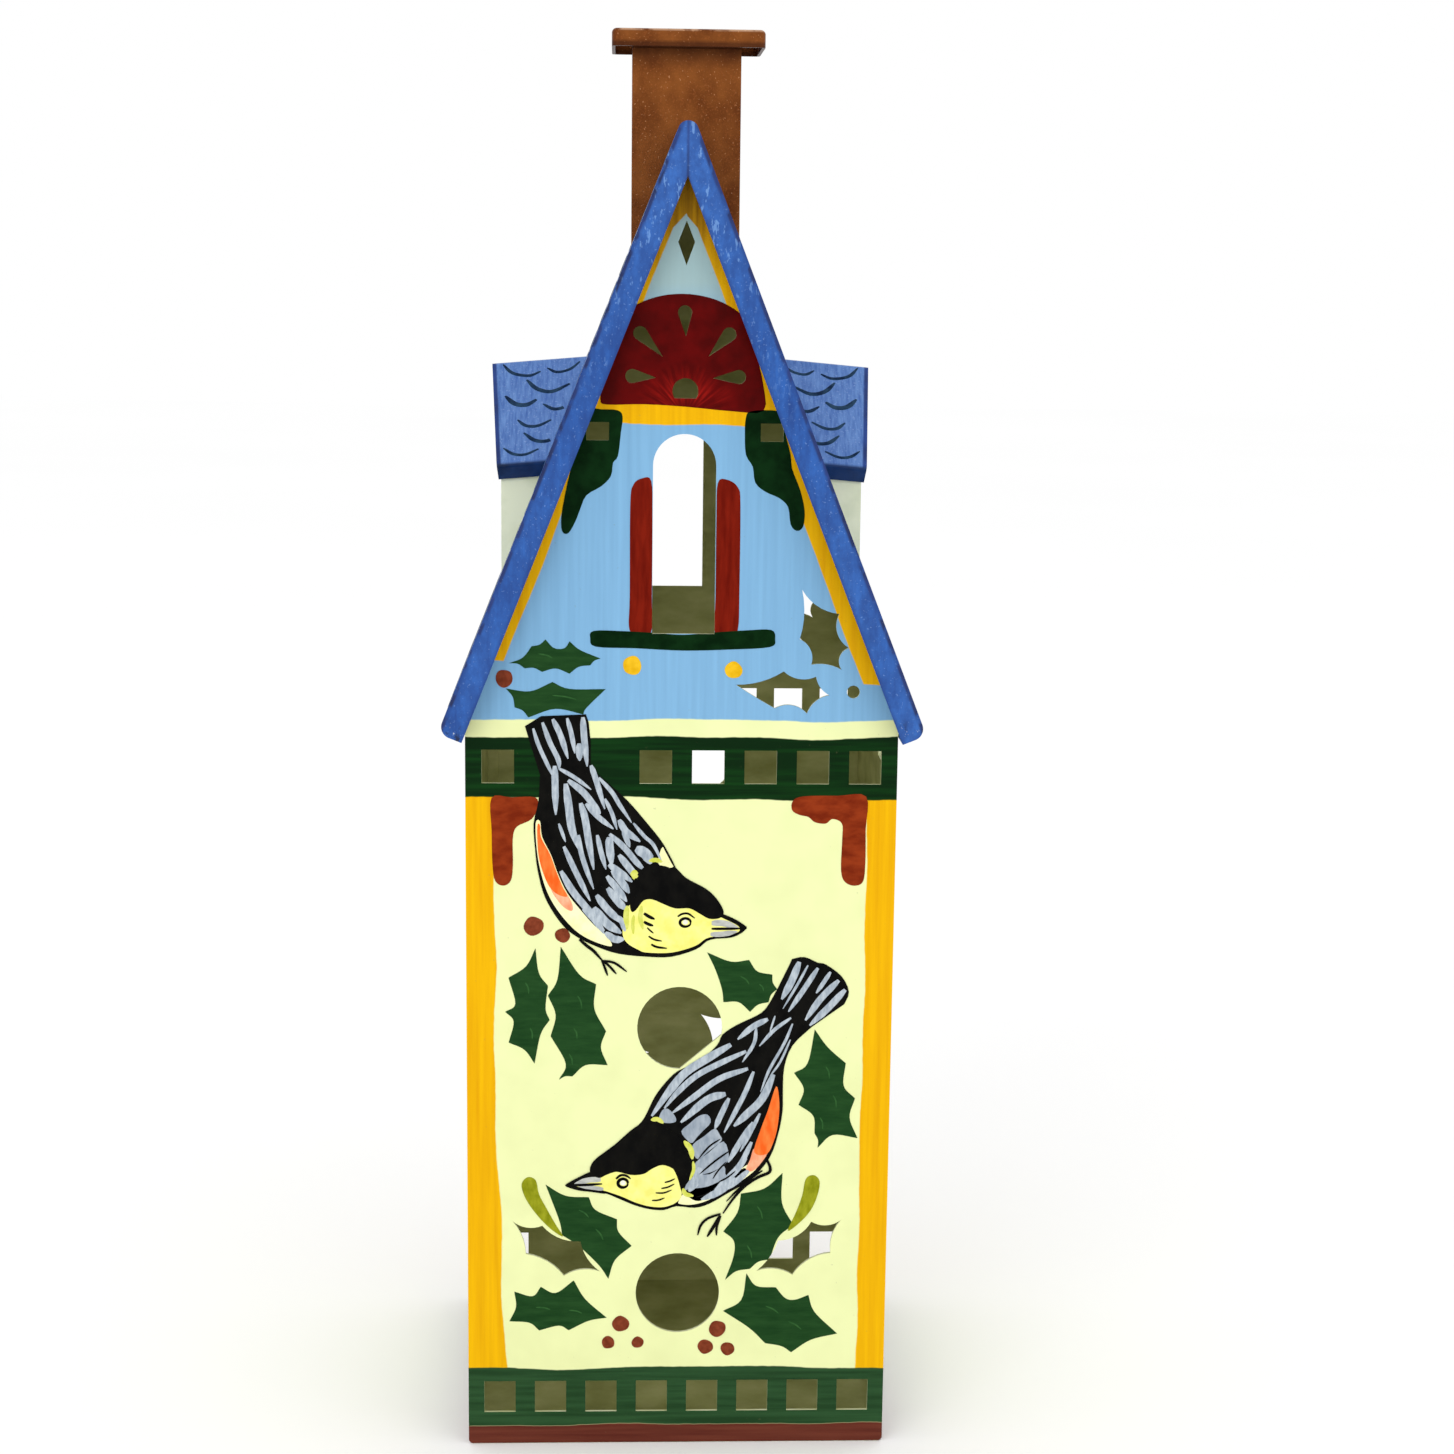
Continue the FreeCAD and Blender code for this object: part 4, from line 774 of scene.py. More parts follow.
painted("window_box", FRONT, [
    soft([(-27, 249.4), (-26, 251.6), (-18, 251.6), (-9, 251.2), (0, 250.6), (9, 251.4), (18, 252),
          (25.6, 252.2), (26.8, 249.6), (25.4, 247.2), (14, 246.4), (0, 246), (-14, 246.6),
          (-25.4, 247)], 4)], 0.1, dark_green)
painted("gable_dots", FRONT, [disc(-14.8, 241.5, 2.8), disc(14.8, 240.3, 2.5)], 0.09, yellow_dab)

# ---------------------------------------------------------------- corner brackets under the upper band
painted("brackets", FRONT, [
    soft([(-55.8, 202), (-50, 202.2), (-43, 202.2), (-42.4, 199), (-44.2, 195.6), (-48.4, 193.4),
          (-49.6, 190), (-49.6, 182), (-50.2, 177.2), (-52.4, 175.6), (-54.8, 177), (-55.6, 182),
          (-55.8, 192)], 4),
    soft([(54.4, 202.8), (46, 203), (36, 202.8), (32.8, 201.4), (32.6, 198.6), (34.8, 197.2), (37.4, 196.6),
          (39.4, 195), (42.6, 194.6), (44.6, 196), (47.4, 194.6), (47.6, 190), (47.4, 181), (48.4, 177.2),
          (51.2, 175.8), (54, 177), (54.6, 183), (54.5, 193)], 4)], 0.09, bracket_red)


def eye_ring(u, v, across, up):
    """The line round an eye."""
    return [(u + across * math.cos(a), v + up * math.sin(a)) for a in (k * math.pi / 6 for k in range(13))]


# ---------------------------------------------------------------- upper songbird
upper_bird = ([(-46, 223.4), (-41.3, 226.4), (-28.2, 227), (-27.4, 224.6), (-26.8, 219), (-26.8, 212)]
              + spline([(-26.8, 212), (-24.4, 209), (-16.3, 201.7), (-10, 194.4), (-5.3, 188.3),
                        (-1.6, 181.2)], 4, False)[1:]
              + spline([(-1.6, 181.2), (2.6, 177), (7.4, 174.4), (10.5, 171.7), (12.6, 167.1)], 4, False)[1:]
              + spline([(12.6, 167.1), (16.4, 165), (19.7, 162.9), (17.4, 161.4), (15.3, 160.2), (11, 159.6),
                        (7.9, 158.8), (4.7, 156.3), (-2.6, 154), (-10, 154), (-18.4, 154.9), (-24.7, 157),
                        (-30.5, 159.9), (-34.7, 163.3), (-38.4, 168.6), (-40.8, 173.8), (-42.4, 180.7),
                        (-43.1, 187), (-43.5, 194.4), (-42.1, 201), (-41.6, 209)], 3, False)[1:])
painted("upper_bird_black", FRONT, [upper_bird], 0.16, black)
painted("upper_bird_face", FRONT, [soft(
    [(-15.4, 169.6), (-12.6, 170.6), (-9, 171.6), (-4, 170), (2.6, 169), (8, 166.4), (11.4, 166.2),
     (13, 165.6), (16.6, 163.8), (17.6, 162.6), (16.6, 161.4), (11, 160.4), (7.6, 159.6), (4.3, 157.3),
     (-2.6, 155.3), (-10, 155.3), (-12.6, 156.2), (-15.8, 158.2), (-17.2, 161),
     (-16.6, 166)], 4)], 0.2, face_yellow, ground=0.16)
painted("upper_bird_belly", FRONT, [
    soft([(-42.9, 194.4), (-41.6, 195), (-41, 190.4), (-38.4, 185), (-36.4, 179.4), (-33.6, 173.4),
          (-29.6, 168.2), (-25.6, 163.6), (-22.2, 160.6), (-20.4, 158), (-21, 157.2), (-25, 158.4),
          (-29, 160.4), (-32.4, 163.2), (-36.2, 167.8), (-39.2, 173), (-41.2, 179), (-42.5, 186)], 4),
    soft([(-6.8, 182.6), (-5.9, 186.9), (-4.7, 187.2), (-3.4, 184.6), (-2.2, 181.6), (-4.6, 181.2)], 3)],
    0.2, belly_cream, ground=0.16)
painted("upper_bird_orange", FRONT, [soft(
    [(-42.4, 193.6), (-41.6, 193.8), (-41.3, 190.2), (-38.7, 185.2), (-37.1, 180.7), (-35.1, 175.6),
     (-33.6, 172.4), (-36.4, 173), (-38.9, 175.4), (-41, 180.4),
     (-42.2, 186)], 4)], 0.24, orange, ground=0.2)
painted("upper_bird_salmon", FRONT, [soft(
    [(-35.3, 175.6), (-32.4, 170.8), (-32, 168.2), (-33.6, 168.4), (-36, 170.6), (-38.4, 174.6),
    (-37.4, 177)], 4)],
    0.22, salmon, ground=0.2)
painted("upper_bird_cap", FRONT, [soft(
    [(-15, 171.6), (-14.2, 176.5), (-12.1, 180.2), (-9.5, 181.9), (-4.7, 181.6), (-1, 179.8), (2.6, 177.4),
     (7.4, 174.8), (10.5, 171.9), (12.6, 168.4), (12.4, 166.6), (11, 165.7), (8.4, 165.7), (5.8, 167.1),
     (2.6, 168.8), (-1.6, 168.8), (-5.3, 170.2), (-8.4, 171.5), (-11, 171.2), (-13.2, 168.4), (-14.4, 167.7),
     (-15, 169.1)], 4)], 0.26, black, ground=0.2)
stroked("upper_bird_nape", FRONT, [
    ([(-15.9, 169.6), (-16.2, 166), (-15.9, 162.4)], 1.6),
    ([(-11.6, 169.6), (-12, 166), (-11.2, 162.4)], 1.3),
    ([(-14.6, 180.4), (-13.6, 178.9), (-12.9, 177.4)], 2.2),
    ([(-9.6, 183.2), (-7.6, 183.5), (-5.6, 182.9)], 1.3),
    ([(-13.9, 166.8), (-14.2, 164), (-14, 161)], 1.0)], 0.22, nape, relief=0.05)
upper_strokes = [
    ([(-43.6, 222.8), (-42.1, 218), (-39.6, 212.4), (-37.6, 208.2)], 1.2),
    ([(-40.9, 224.6), (-38.7, 218.6), (-36.3, 213.6), (-36, 210.6)], 1.5),
    ([(-37.9, 225.6), (-35.6, 220.7), (-33.4, 213.8)], 1.7),
    ([(-33.7, 225.9), (-32.4, 221), (-31.4, 215.4)], 1.4),
    ([(-29.1, 226.2), (-28.7, 220), (-27.8, 211.5)], 1.9), ([(-30.2, 218.4), (-30, 213.2)], 2.0),
    ([(-37.3, 211.7), (-37.2, 206), (-37, 197)], 2.0),
    ([(-36.1, 210.9), (-31.6, 208.3), (-26.6, 204.6)], 1.2),
    ([(-33.4, 207.4), (-28.9, 203.8), (-25.5, 199.4), (-23.9, 197.3)], 2.0),
    ([(-26.7, 211.9), (-25.2, 207.5), (-22.6, 198.8)], 1.7),
    ([(-24.4, 208.2), (-20.5, 203.8), (-18.2, 200), (-14.7, 194.7)], 1.3),
    ([(-34.1, 206.4), (-33.2, 199.6), (-32.3, 193), (-30.3, 186.8)], 2.3),
    ([(-29.7, 200.6), (-28.4, 195.9), (-27.3, 189), (-25.8, 180.5)], 2.1),
    ([(-28.2, 200.4), (-24.7, 196.6), (-20, 192.8)], 1.6),
    ([(-22.6, 201.9), (-20.5, 197.5), (-19, 192.6)], 1.2), ([(-36.1, 194.4), (-34.1, 188.8)], 1.0),
    ([(-30.3, 191), (-29.6, 186), (-28, 180.7), (-25.8, 174.6)], 1.5),
    ([(-34.6, 187.5), (-32, 181.7), (-29.5, 176.5), (-26.8, 171)], 1.7),
    ([(-35.5, 180.1), (-32, 174), (-27.2, 168), (-22.6, 161.9)], 2.1),
    ([(-24.8, 191), (-23.7, 186), (-22.2, 180.6)], 1.5),
    ([(-21.3, 190.4), (-21.1, 187), (-20.5, 181.9)], 2.4),
    ([(-21.2, 191.3), (-16.8, 187.2), (-13.2, 182.8), (-10.7, 180.3)], 1.8),
    ([(-18.4, 195.6), (-16.3, 192.1), (-12.1, 189)], 2.0), ([(-17.2, 192.5), (-15.2, 187.3)], 1.6),
    ([(-14.2, 194.6), (-11, 190.7), (-8.2, 188), (-5.4, 182.3)], 1.1),
    ([(-13.4, 187), (-10.4, 185.2), (-8.9, 182.3)], 3.2),
    ([(-18.4, 185), (-15.2, 180.9), (-13.3, 178.6)], 2.1),
    ([(-21.4, 182.1), (-18.4, 180), (-14.4, 176.8)], 2.0),
    ([(-20.4, 180.4), (-17.4, 176.6), (-15.3, 173.4)], 2.2),
    ([(-21.9, 178.6), (-18.6, 174.4), (-16, 170.8)], 2.0),
    ([(-21.7, 175), (-18.6, 170.9), (-16.2, 168.4)], 2.3),
    ([(-25, 172.8), (-21.6, 168.4), (-17.2, 164.2)], 2.2),
    ([(-25.8, 169), (-22.1, 164.4), (-17.6, 161.2)], 2.6),
    ([(-29, 168.6), (-25.6, 165), (-22.4, 160.6)], 1.4),
    ([(-22.4, 161.3), (-19.6, 159.4), (-16.6, 159.4)], 2.2),
    ([(-19, 166.4), (-17.2, 164.4), (-16.4, 161.4)], 1.8)]
stroked("upper_bird_feathers", FRONT, upper_strokes, 0.17, feather, ends=(0.5, 0.2))
stroked("upper_bird_beak", FRONT, [([(9.2, 164.3), (12.6, 164.3), (17.2, 163)], 1.9),
                                   ([(8.9, 160.9), (12.6, 161),
                                   (17, 161.8)], 1.6)], 0.21, beak_grey, relief=0.04,
        ends=(0.6, 0.1))
stroked("upper_bird_lines", FRONT, [
    (eye_ring(1.4, 164.5, 1.6, 1.25), 0.85),
    ([(-0.9, 166.3), (0.4, 167.1), (2.2, 167.2), (4.2, 165.8)], 0.65),
    ([(9.2, 162.6), (13, 162.6), (18.4, 162.7)], 0.8), ([(-10.9, 167.3), (-9.4, 166.3), (-7.7, 165.5)], 1.0),
    ([(-10.9, 164.7), (-9.6, 164), (-8.1, 163.5)], 0.95), ([(-9.9, 162.9), (-9, 162), (-8, 161.2)], 0.5),
    ([(-9.5, 160.3), (-7.8, 159.3), (-5.5, 158.8)], 0.6), ([(-8.7, 157.8), (-7, 157), (-4, 156.6)], 0.7),
    ([(12.2, 166.8), (15.6, 165.3), (19.6, 163)], 0.9),
    ([(19.6, 162.9), (17.6, 161.3), (15, 160.2), (11, 159.7)], 0.55),
    ([(-5.4, 188), (-3.6, 184.6), (-1.6, 180.8)], 0.6),
    ([(-30, 159.3), (-27.6, 157.2), (-25.6, 155.6), (-23.2, 152.8)], 0.95),
    ([(-23.4, 153.2), (-22.4, 150.6), (-21.6, 148.2)], 0.75),
    ([(-23, 152.9), (-20.8, 150.8), (-19, 148.7)], 0.75),
    ([(-23.4, 152.8), (-19.6, 152.1), (-15.9, 149.4)], 0.75)], 0.23, black, relief=0.05, ends=(0.7, 0.4))
painted("upper_bird_eye", FRONT, [disc(1.4, 164.6, 0.75)], 0.24, white_paint, ground=0.2)

# ---------------------------------------------------------------- lower songbird
lower_bird = (spline([(-26.4, 86.9), (-25.5, 90.4), (-19.3, 95.4), (-13, 101), (-10.4, 104), (-7.4, 110.4),
                      (-4.3, 114.8), (-0.5, 118.6), (5.8, 121.6), (11.2, 126.6), (12.8, 129.9), (17, 132.9),
                      (23.3, 136), (26, 138.5), (28.9, 143.8), (32.6, 151.6)], 3, False)
              + spline([(33.3, 153.3), (37, 153.9), (41, 152.2), (43.5, 151.6), (48.3, 147.9), (50.5, 143.2),
                        (49.2, 139.4)], 3, False)
              + spline([(39.5, 132.3), (33.9, 126.6), (31.5, 119.8), (31.2, 112.3), (31.2, 106),
                        (29.9, 98.5), (27.4, 91.2), (22, 84.6), (15, 80.2), (9.5, 76.9), (5, 75.6),
                        (-0.5, 76.1), (-4.3, 74.9), (-8.6, 75.2), (-13, 76.4), (-17.4, 78.3), (-21.8, 80.2),
                        (-26, 81), (-30, 81.5), (-34.2, 82.8), (-30, 84.9)], 3, False))
painted("lower_bird_black", FRONT, [lower_bird], 0.16, black)
painted("lower_bird_face", FRONT, [soft(
    [(0.5, 82.4), (-0.6, 86), (-2.2, 88.6), (-4.9, 89.4), (-8, 88.3), (-10.5, 86.9), (-14.3, 86.6),
     (-18.6, 87.5), (-21.8, 86.6), (-24.6, 85.6), (-28, 84.8), (-31.6, 83.2), (-30, 82.3), (-26, 81.8),
     (-22.3, 81.1), (-17.2, 79.3), (-13, 77.4), (-8.6, 76.1), (-4.3, 75.9), (-0.8, 77.2),
     (1, 79.4)], 4)], 0.2, face_yellow,
    ground=0.16)
painted("lower_bird_belly", FRONT, [
    soft([(1.6, 80.2), (0.2, 77.8), (0.4, 76.9), (4, 76.6), (8.6, 77.8), (14, 80.9), (20, 84.8),
          (23.8, 88.4), (21.6, 89.6), (16, 86), (9, 82.4), (3.2, 81.6)], 4)], 0.2, belly_cream, ground=0.16)
painted("lower_bird_orange", FRONT, [soft(
    [(29.2, 113.9), (30.2, 108.5), (29.9, 102.3), (28.8, 97), (26.6, 92.6), (22.8, 93.2), (24.5, 99.8),
     (26.8, 106.4)], 4)], 0.24, orange, ground=0.2)
painted("lower_bird_salmon", FRONT, [soft(
    [(26.9, 93.6), (25, 89.8), (22.4, 87.2), (20.4, 87.8), (21.6, 90.8),
    (23, 94.6)], 4)], 0.22, salmon, ground=0.2)
painted("lower_bird_cap", FRONT, [soft(
    [(-26.6, 86.9), (-25.5, 90.6), (-19.3, 95.6), (-13, 101.2), (-8.6, 102.3), (-4.3, 101), (-0.5, 98.5),
     (2, 94.8), (3.3, 89.8), (2.9, 86.6), (0.9, 82.4), (0.2, 85.6), (-1.6, 88), (-4.9, 89.2), (-8, 88),
     (-10.5, 86.4), (-14.3, 86.1), (-18.6, 87.1), (-21.8, 86.1), (-24, 85.2)], 4)], 0.26, black, ground=0.2)
stroked("lower_bird_nape", FRONT, [
    ([(-8.4, 103.4), (-6.4, 103.6), (-4.6, 102.4)], 1.4), ([(1.6, 96.8), (3.6, 94.2), (4.2, 91)], 1.7),
    ([(4.4, 90.4), (4.6, 87.6), (3.4, 84.4)], 1.0),
    ([(1.4, 81.8), (2.2, 80), (4.6, 79.4)], 1.4)], 0.22, nape,
        relief=0.05)
painted("lower_bird_mantle", FRONT, [
    soft([(8.6, 105), (9.6, 102.6), (7, 99.6), (4.2, 96.2), (2.4, 97.2), (0.8, 99.8), (3.2, 102.2),
    (6, 104.6)], 3),
    soft([(10.8, 100.6), (12.4, 98.6), (12.9, 96.8), (9.4, 93.8), (6, 91), (4.4, 93), (4.3, 95.6),
    (7.6, 98.2)], 3),
    soft([(13.5, 96.6), (15.2, 92), (14, 89.4), (10.6, 87.2), (6.8, 86.2), (5, 87.4), (5.2, 90),
    (9, 93)], 3),
    soft([(13.8, 88.8), (14.6, 85.6), (19.8, 88.2), (20.4, 86.4), (16, 83.4), (12, 80.4), (7.4, 78),
          (4.4, 78.2), (1.8, 81.4), (5, 86), (9.4, 86.2)], 3),
    soft([(-3.2, 106.8), (-1.2, 104.6), (-1, 102.8), (-3.6, 102.4), (-6, 103.4), (-5, 106.4)], 3)],
    0.2, mantle, ground=0.16)
lower_strokes = [
    ([(35.5, 152.5), (33.3, 146.6), (30.4, 140.9)], 2.2), ([(38.1, 151.4), (35, 145.4), (30.8, 138)], 0.8),
    ([(41.1, 150.6), (37, 144), (32.5, 137.1)], 1.6), ([(44.9, 149.4), (42.8, 146), (40.7, 142.8)], 1.3),
    ([(47.4, 146.8), (42, 141), (37.6, 134.4)], 2.0), ([(49.4, 143.9), (44.5, 138.4), (38.9, 132.8)], 2.1),
    ([(26.4, 134.8), (22, 132.5), (17.4, 128.5)], 1.8), ([(22.9, 132), (22.3, 127.3), (18.9, 121.4)], 1.1),
    ([(33.3, 135.2), (28.3, 131.4), (23.9, 126.4)], 1.1), ([(28.5, 135.8), (27, 130.8)], 0.6),
    ([(33.8, 133.4), (31.4, 127.3), (27, 119), (24.5, 112.1)], 0.9),
    ([(33.2, 128.4), (30.2, 121.4), (27.2, 117)], 0.7),
    ([(15.4, 126.9), (8.9, 122.9), (2, 118.3), (-3, 112.3), (-8.2, 104.6)], 2.5),
    ([(20, 124.8), (12, 121), (5, 117.1), (-0.5, 112), (-4.4, 107)], 1.8),
    ([(20.6, 119.4), (12, 116.2), (4.5, 110.6), (-2, 105.6)], 1.9),
    ([(22.3, 118.5), (20, 112.3), (17, 106), (13.7, 99.4)], 1.5),
    ([(28.3, 117.6), (25, 110), (20.2, 104.9), (16.6, 101.4)], 2.4),
    ([(14, 111.5), (8.3, 109.6), (0.6, 102.6)], 2.4), ([(15, 110.2), (12.4, 104.4), (10.9, 100.6)], 1.7),
    ([(22.4, 102.6), (18.3, 96), (15, 90)], 1.8), ([(22, 96.4), (18.3, 88.9), (12, 82.6)], 1.6),
    ([(20.4, 91.4), (16.8, 86.6), (11, 81.2)], 1.8), ([(6.6, 88.4), (5.4, 84.4), (3.2, 80.8)], 2.6),
    ([(24.4, 105.4), (21.6, 99.4), (18.6, 93.4)], 1.2), ([(17.4, 84.9), (12.6, 80.9), (7, 78.2)], 2.2),
    ([(21.2, 87.4), (17.6, 84), (13.4, 81)], 1.8)]
stroked("lower_bird_feathers", FRONT, lower_strokes, 0.21, feather, ends=(0.5, 0.25))
stroked("lower_bird_feather_gaps", FRONT, [
    ([(12.6, 97.4), (9.2, 95), (5.9, 91)], 0.55), ([(15.6, 93.8), (11, 90.4), (6, 86)], 0.6),
    ([(14.4, 90.2), (12, 87.4), (10.4, 84.8)], 0.5), ([(8.4, 100.8), (6.4, 98.6), (4.2, 96)], 0.45),
    ([(17.6, 87.6), (14.8, 85.2), (12.2, 83.8)], 0.6),
    ([(10.4, 81.4), (8, 79.8), (5.4, 79)], 0.4)], 0.27, black,
        relief=0.04)
stroked("lower_bird_beak", FRONT, [([(-23.4, 84.6), (-27, 84.5), (-31.4, 83.3)], 1.7),
                                   ([(-22.6, 81.6), (-26, 82.1),
                                   (-30.6, 82.7)], 1.3)], 0.21, beak_grey, relief=0.04,
        ends=(0.6, 0.1))
stroked("lower_bird_lines", FRONT, [
    (eye_ring(-16.7, 83.5, 1.5, 1.35), 0.95),
    ([(-18.8, 84.9), (-17.4, 86), (-15.8, 85.9), (-14.4, 84.9)], 0.75),
    ([(-32.8, 82.9), (-28, 83), (-23, 83.3)], 0.85), ([(-4.1, 83.7), (-2.6, 84.1), (-1, 84.9)], 0.5),
    ([(-5.1, 81.8), (-3.2, 82.2), (-1.2, 83.2)], 0.5), ([(-6.8, 80.4), (-4.4, 80.4), (-2, 81.3)], 0.5),
    ([(-7.9, 78), (-6, 78.1), (-4.1, 78.8)], 0.5), ([(-26.4, 86.9), (-30, 85), (-34, 82.9)], 0.8),
    ([(-33.8, 82.7), (-30, 81.6), (-26, 81.1), (-22, 80.3)], 0.75),
    ([(26.6, 91), (27.7, 88.4), (27.3, 86.7), (24, 85.2), (20, 82.4), (16.6, 78.4), (13.6, 73.8)], 0.95),
    ([(25.4, 87.4), (21.6, 84.6), (17.6, 80.9), (14.6, 77.6)], 0.6),
    ([(12.9, 73.7), (9, 72.2), (6.9, 70), (6, 66.9)], 0.8), ([(12.8, 73.2), (10.8, 69.6), (8.9, 66.4)], 1.0),
    ([(12.9, 73), (11.8, 69.6), (11.7, 66.8)], 0.75)], 0.28, black, relief=0.05, ends=(0.7, 0.4))
painted("lower_bird_eye", FRONT, [disc(-16.7, 83.6, 0.8)], 0.29, white_paint, ground=0.2)

# ---------------------------------------------------------------- sides, back and door
LEAF = [(0, 11), (-3.2, 5.6), (-7.4, 4.4), (-5.2, 0.4), (-8, -3.6), (-4.6, -5.6), (-5.4, -10.4), (0, -12),
        (5.4, -10.4), (4.6, -5.6), (8, -3.6), (5.2, 0.4), (7.4, 4.4), (3.2, 5.6)]


def decorate(name, surface, sprigs):
    """Sprigs of two holly leaves and three berries, each given as (u, v, size, turn)."""
    leaves, dabs = [], []
    for place in sprigs:
        for leaf_place in ((-12.3, 0, 1, 58), (12.6, 1.5, 1.05, -52)):
            leaves.append(holly(moved(moved(LEAF, *leaf_place), *place)))
        for u, v, radius in ((-0.4, 8.6, 2.5), (-3.2, 12.6, 2.1), (3.4, 12, 2.0)):
            dabs.append(disc(*moved([(u, v)], *place)[0], radius * place[2]))
    painted(name + "_leaves", surface, leaves, 0.08, leaf_green)
    painted(name + "_berries", surface, dabs, 0.12, berry_red)


side_sprigs = [(-24, 168, 1.15, 20), (22, 140, 1.25, -25), (-20, 98, 1.3, 12), (24, 62, 1.15, -30),
               (-26, 44, 1.0, 8), (15, 185, 0.8, -160)]
decorate("right_side", RIGHT, side_sprigs)
decorate("left_side", LEFT, [(-u, v, s, -t, True) for u, v, s, t in side_sprigs])
rear_sprigs = [(-26, 152, 1.1, 20), (27, 146, 1.1, -28), (-30, 124, 0.85, 200), (34, 250, 0.9, -20)]
decorate("rear", REAR, rear_sprigs)
for place, surface, half in (("right", RIGHT, 50), ("left", LEFT, 50), ("rear", REAR, 55)):
    corner = [(0, 0.2), (9, 0.4), (19, 0.2), (21.4, -2.2), (20.4, -5.6), (15.4, -6.6), (9.4, -7), (7, -10),
              (6.8, -18), (6, -24.6), (3.4, -26.4), (0.6, -25), (-0.2, -18), (-0.2, -8)]
    pair = [soft([(side * (half - u), v + BAND_FOOT) for u, v in corner], 4) for side in (-1, 1)]
    painted(place + "_brackets", surface, pair, 0.09, bracket_red)


# ---------------------------------------------------------------- windows of the dormers
SILL_HEIGHT, SPRING_HEIGHT, WINDOW_HALF = 283.2, 299.2, 6.0
trim_half = WINDOW_HALF + 1.2
trim = [(-trim_half, SILL_HEIGHT + 0.6)]
trim += [(trim_half * math.cos(angle), SPRING_HEIGHT + trim_half * math.sin(angle))
         for angle in (math.pi * (1 - k / 8) for k in range(9))]
trim.append((trim_half, SILL_HEIGHT + 0.6))
for side, place in ((1, "right"), (-1, "left")):
    walls = place + "_dormer_walls"
    face_x = box_mm(walls)[1].x if side > 0 else box_mm(walls)[0].x
    surface = Surface((face_x, 0, 0), Y * side, Z).pierced(walls)
    stroked(place + "_dormer_trim", surface, [(trim, 1.6)], 0.05, yellow_dab, relief=0.05, ends=(0.9, 0.9))
    shutters = [soft([(near_edge, 299.4), (near_edge + 1.4 * out, 300.6), (near_edge + 3.6 * out, 298.6),
                      (near_edge + 3.8 * out, 286), (near_edge + 3.2 * out, 283.8), (near_edge, 284.2)], 4)
                for out, near_edge in ((1, WINDOW_HALF + 2.6), (-1, -WINDOW_HALF - 2.6))]
    painted(place + "_dormer_shutters", surface, shutters, 0.07, shutter_red)
    box = [(-14.4, 281.6), (-10, 282.4), (10, 282.3), (14.4, 281.8), (15, 280), (13.6, 278.6), (0, 278.2),
           (-13.6, 278.5), (-15, 279.9)]
    painted(place + "_dormer_window_box", surface, [soft(box, 4)], 0.08, dark_green)


# ---------------------------------------------------------------- shingle lines on the roofs
def scallops(u_range, v_range, pitch, row, sag, width, keep):
    """Rows of hanging arcs, each row half a step along from the next."""
    strokes = []
    rows = int((v_range[1] - v_range[0]) / row)
    for r in range(rows + 1):
        v = v_range[1] - r * row
        start = u_range[0] + (pitch / 2 if r % 2 else 0)
        count = int((u_range[1] - start) / pitch)
        for k in range(count):
            u = start + k * pitch
            shift = 0.5 * math.sin(3.1 * k + 1.7 * r + u_range[0])
            drop = sag * (1 + 0.14 * math.sin(2.3 * k + r))
            points = [(u + 0.4, v + shift), (u + pitch * 0.25, v - drop * 0.72 + shift),
                      (u + pitch * 0.55, v - drop + shift), (u + pitch * 0.82, v - drop * 0.6 + shift),
                      (u + pitch - 0.2, v + 0.3 + shift)]
            if all(keep(*p) for p in points):
                strokes.append((points, width * (1 + 0.25 * math.sin(1.9 * k + 2.7 * r))))
    return strokes


# Half widths and heights of the bare spots round the dormers and the chimney.
DORMER_SPACE, DORMER_SPACE_FOOT, DORMER_SPACE_TOP = 31.5, 259, 331
CHIMNEY_SPACE, CHIMNEY_SPACE_FOOT = 12.5, 350


def on_open_roof(u, v):
    """True where the main roof's slope is clear of the dormers and the chimney."""
    height = ROOF_RIDGE + v * ROOF_RISE / RISE_LENGTH
    by_dormer = abs(u) < DORMER_SPACE and DORMER_SPACE_FOOT < height < DORMER_SPACE_TOP
    by_chimney = abs(u) < CHIMNEY_SPACE and height > CHIMNEY_SPACE_FOOT
    return not (by_dormer or by_chimney)


for name, surface in (("roof_right_shingles", ROOF_RIGHT), ("roof_left_shingles", ROOF_LEFT)):
    arcs = scallops(u_range=(-62, 62), v_range=(-182, -12), pitch=13.6, row=8.4, sag=5.2, width=0.9,
                    keep=on_open_roof)
    stroked(name, surface, arcs, 0.05, teal_line, ends=(0.3, 0.5))

# Arcs on a dormer's slope, as (from its open end, down from its ridge).
DORMER_LENGTH = 28.6
dormer_arcs = [
    ([(3.4, -1.6), (6.4, -5.4), (11.4, -7.0), (15, -5.6)], 1.1),
    ([(17, -4.4), (20, -6.4), (24, -5.6), (27, -2.8)], 1.0),
    ([(10.8, -8.6), (14, -12.6), (18.6, -14.2), (24, -11.6)], 1.4),
    ([(4.4, -14.6), (7.4, -18), (11, -18.8), (14, -17)], 1.6),
    ([(16, -19), (19.4, -21.4), (23, -20.6), (26.4, -17.6)], 1.2),
    ([(8.4, -24.6), (11, -27.2), (14.6, -27.6), (18.6, -25.6)], 1.1),
    ([(10.4, -30), (14, -33.4), (18.4, -33.6), (23, -29.4)], 1.3),
    ([(4.4, -35.4), (7.4, -38), (11, -38.6), (15, -36.8)], 1.0)]
for side, place in ((1, "right"), (-1, "left")):
    for facing, where in ((-1, "front"), (1, "back")):
        surface = dormer_slope(side, facing, place + "_dormer_roof")
        from_end = [([((DORMER_LENGTH - u) * side * -facing, v) for u, v in points], width)
                    for points, width in dormer_arcs]
        stroked("%s_dormer_%s_shingles" % (place, where), surface, from_end, 0.05, teal_line,
                ends=(0.35, 0.5))

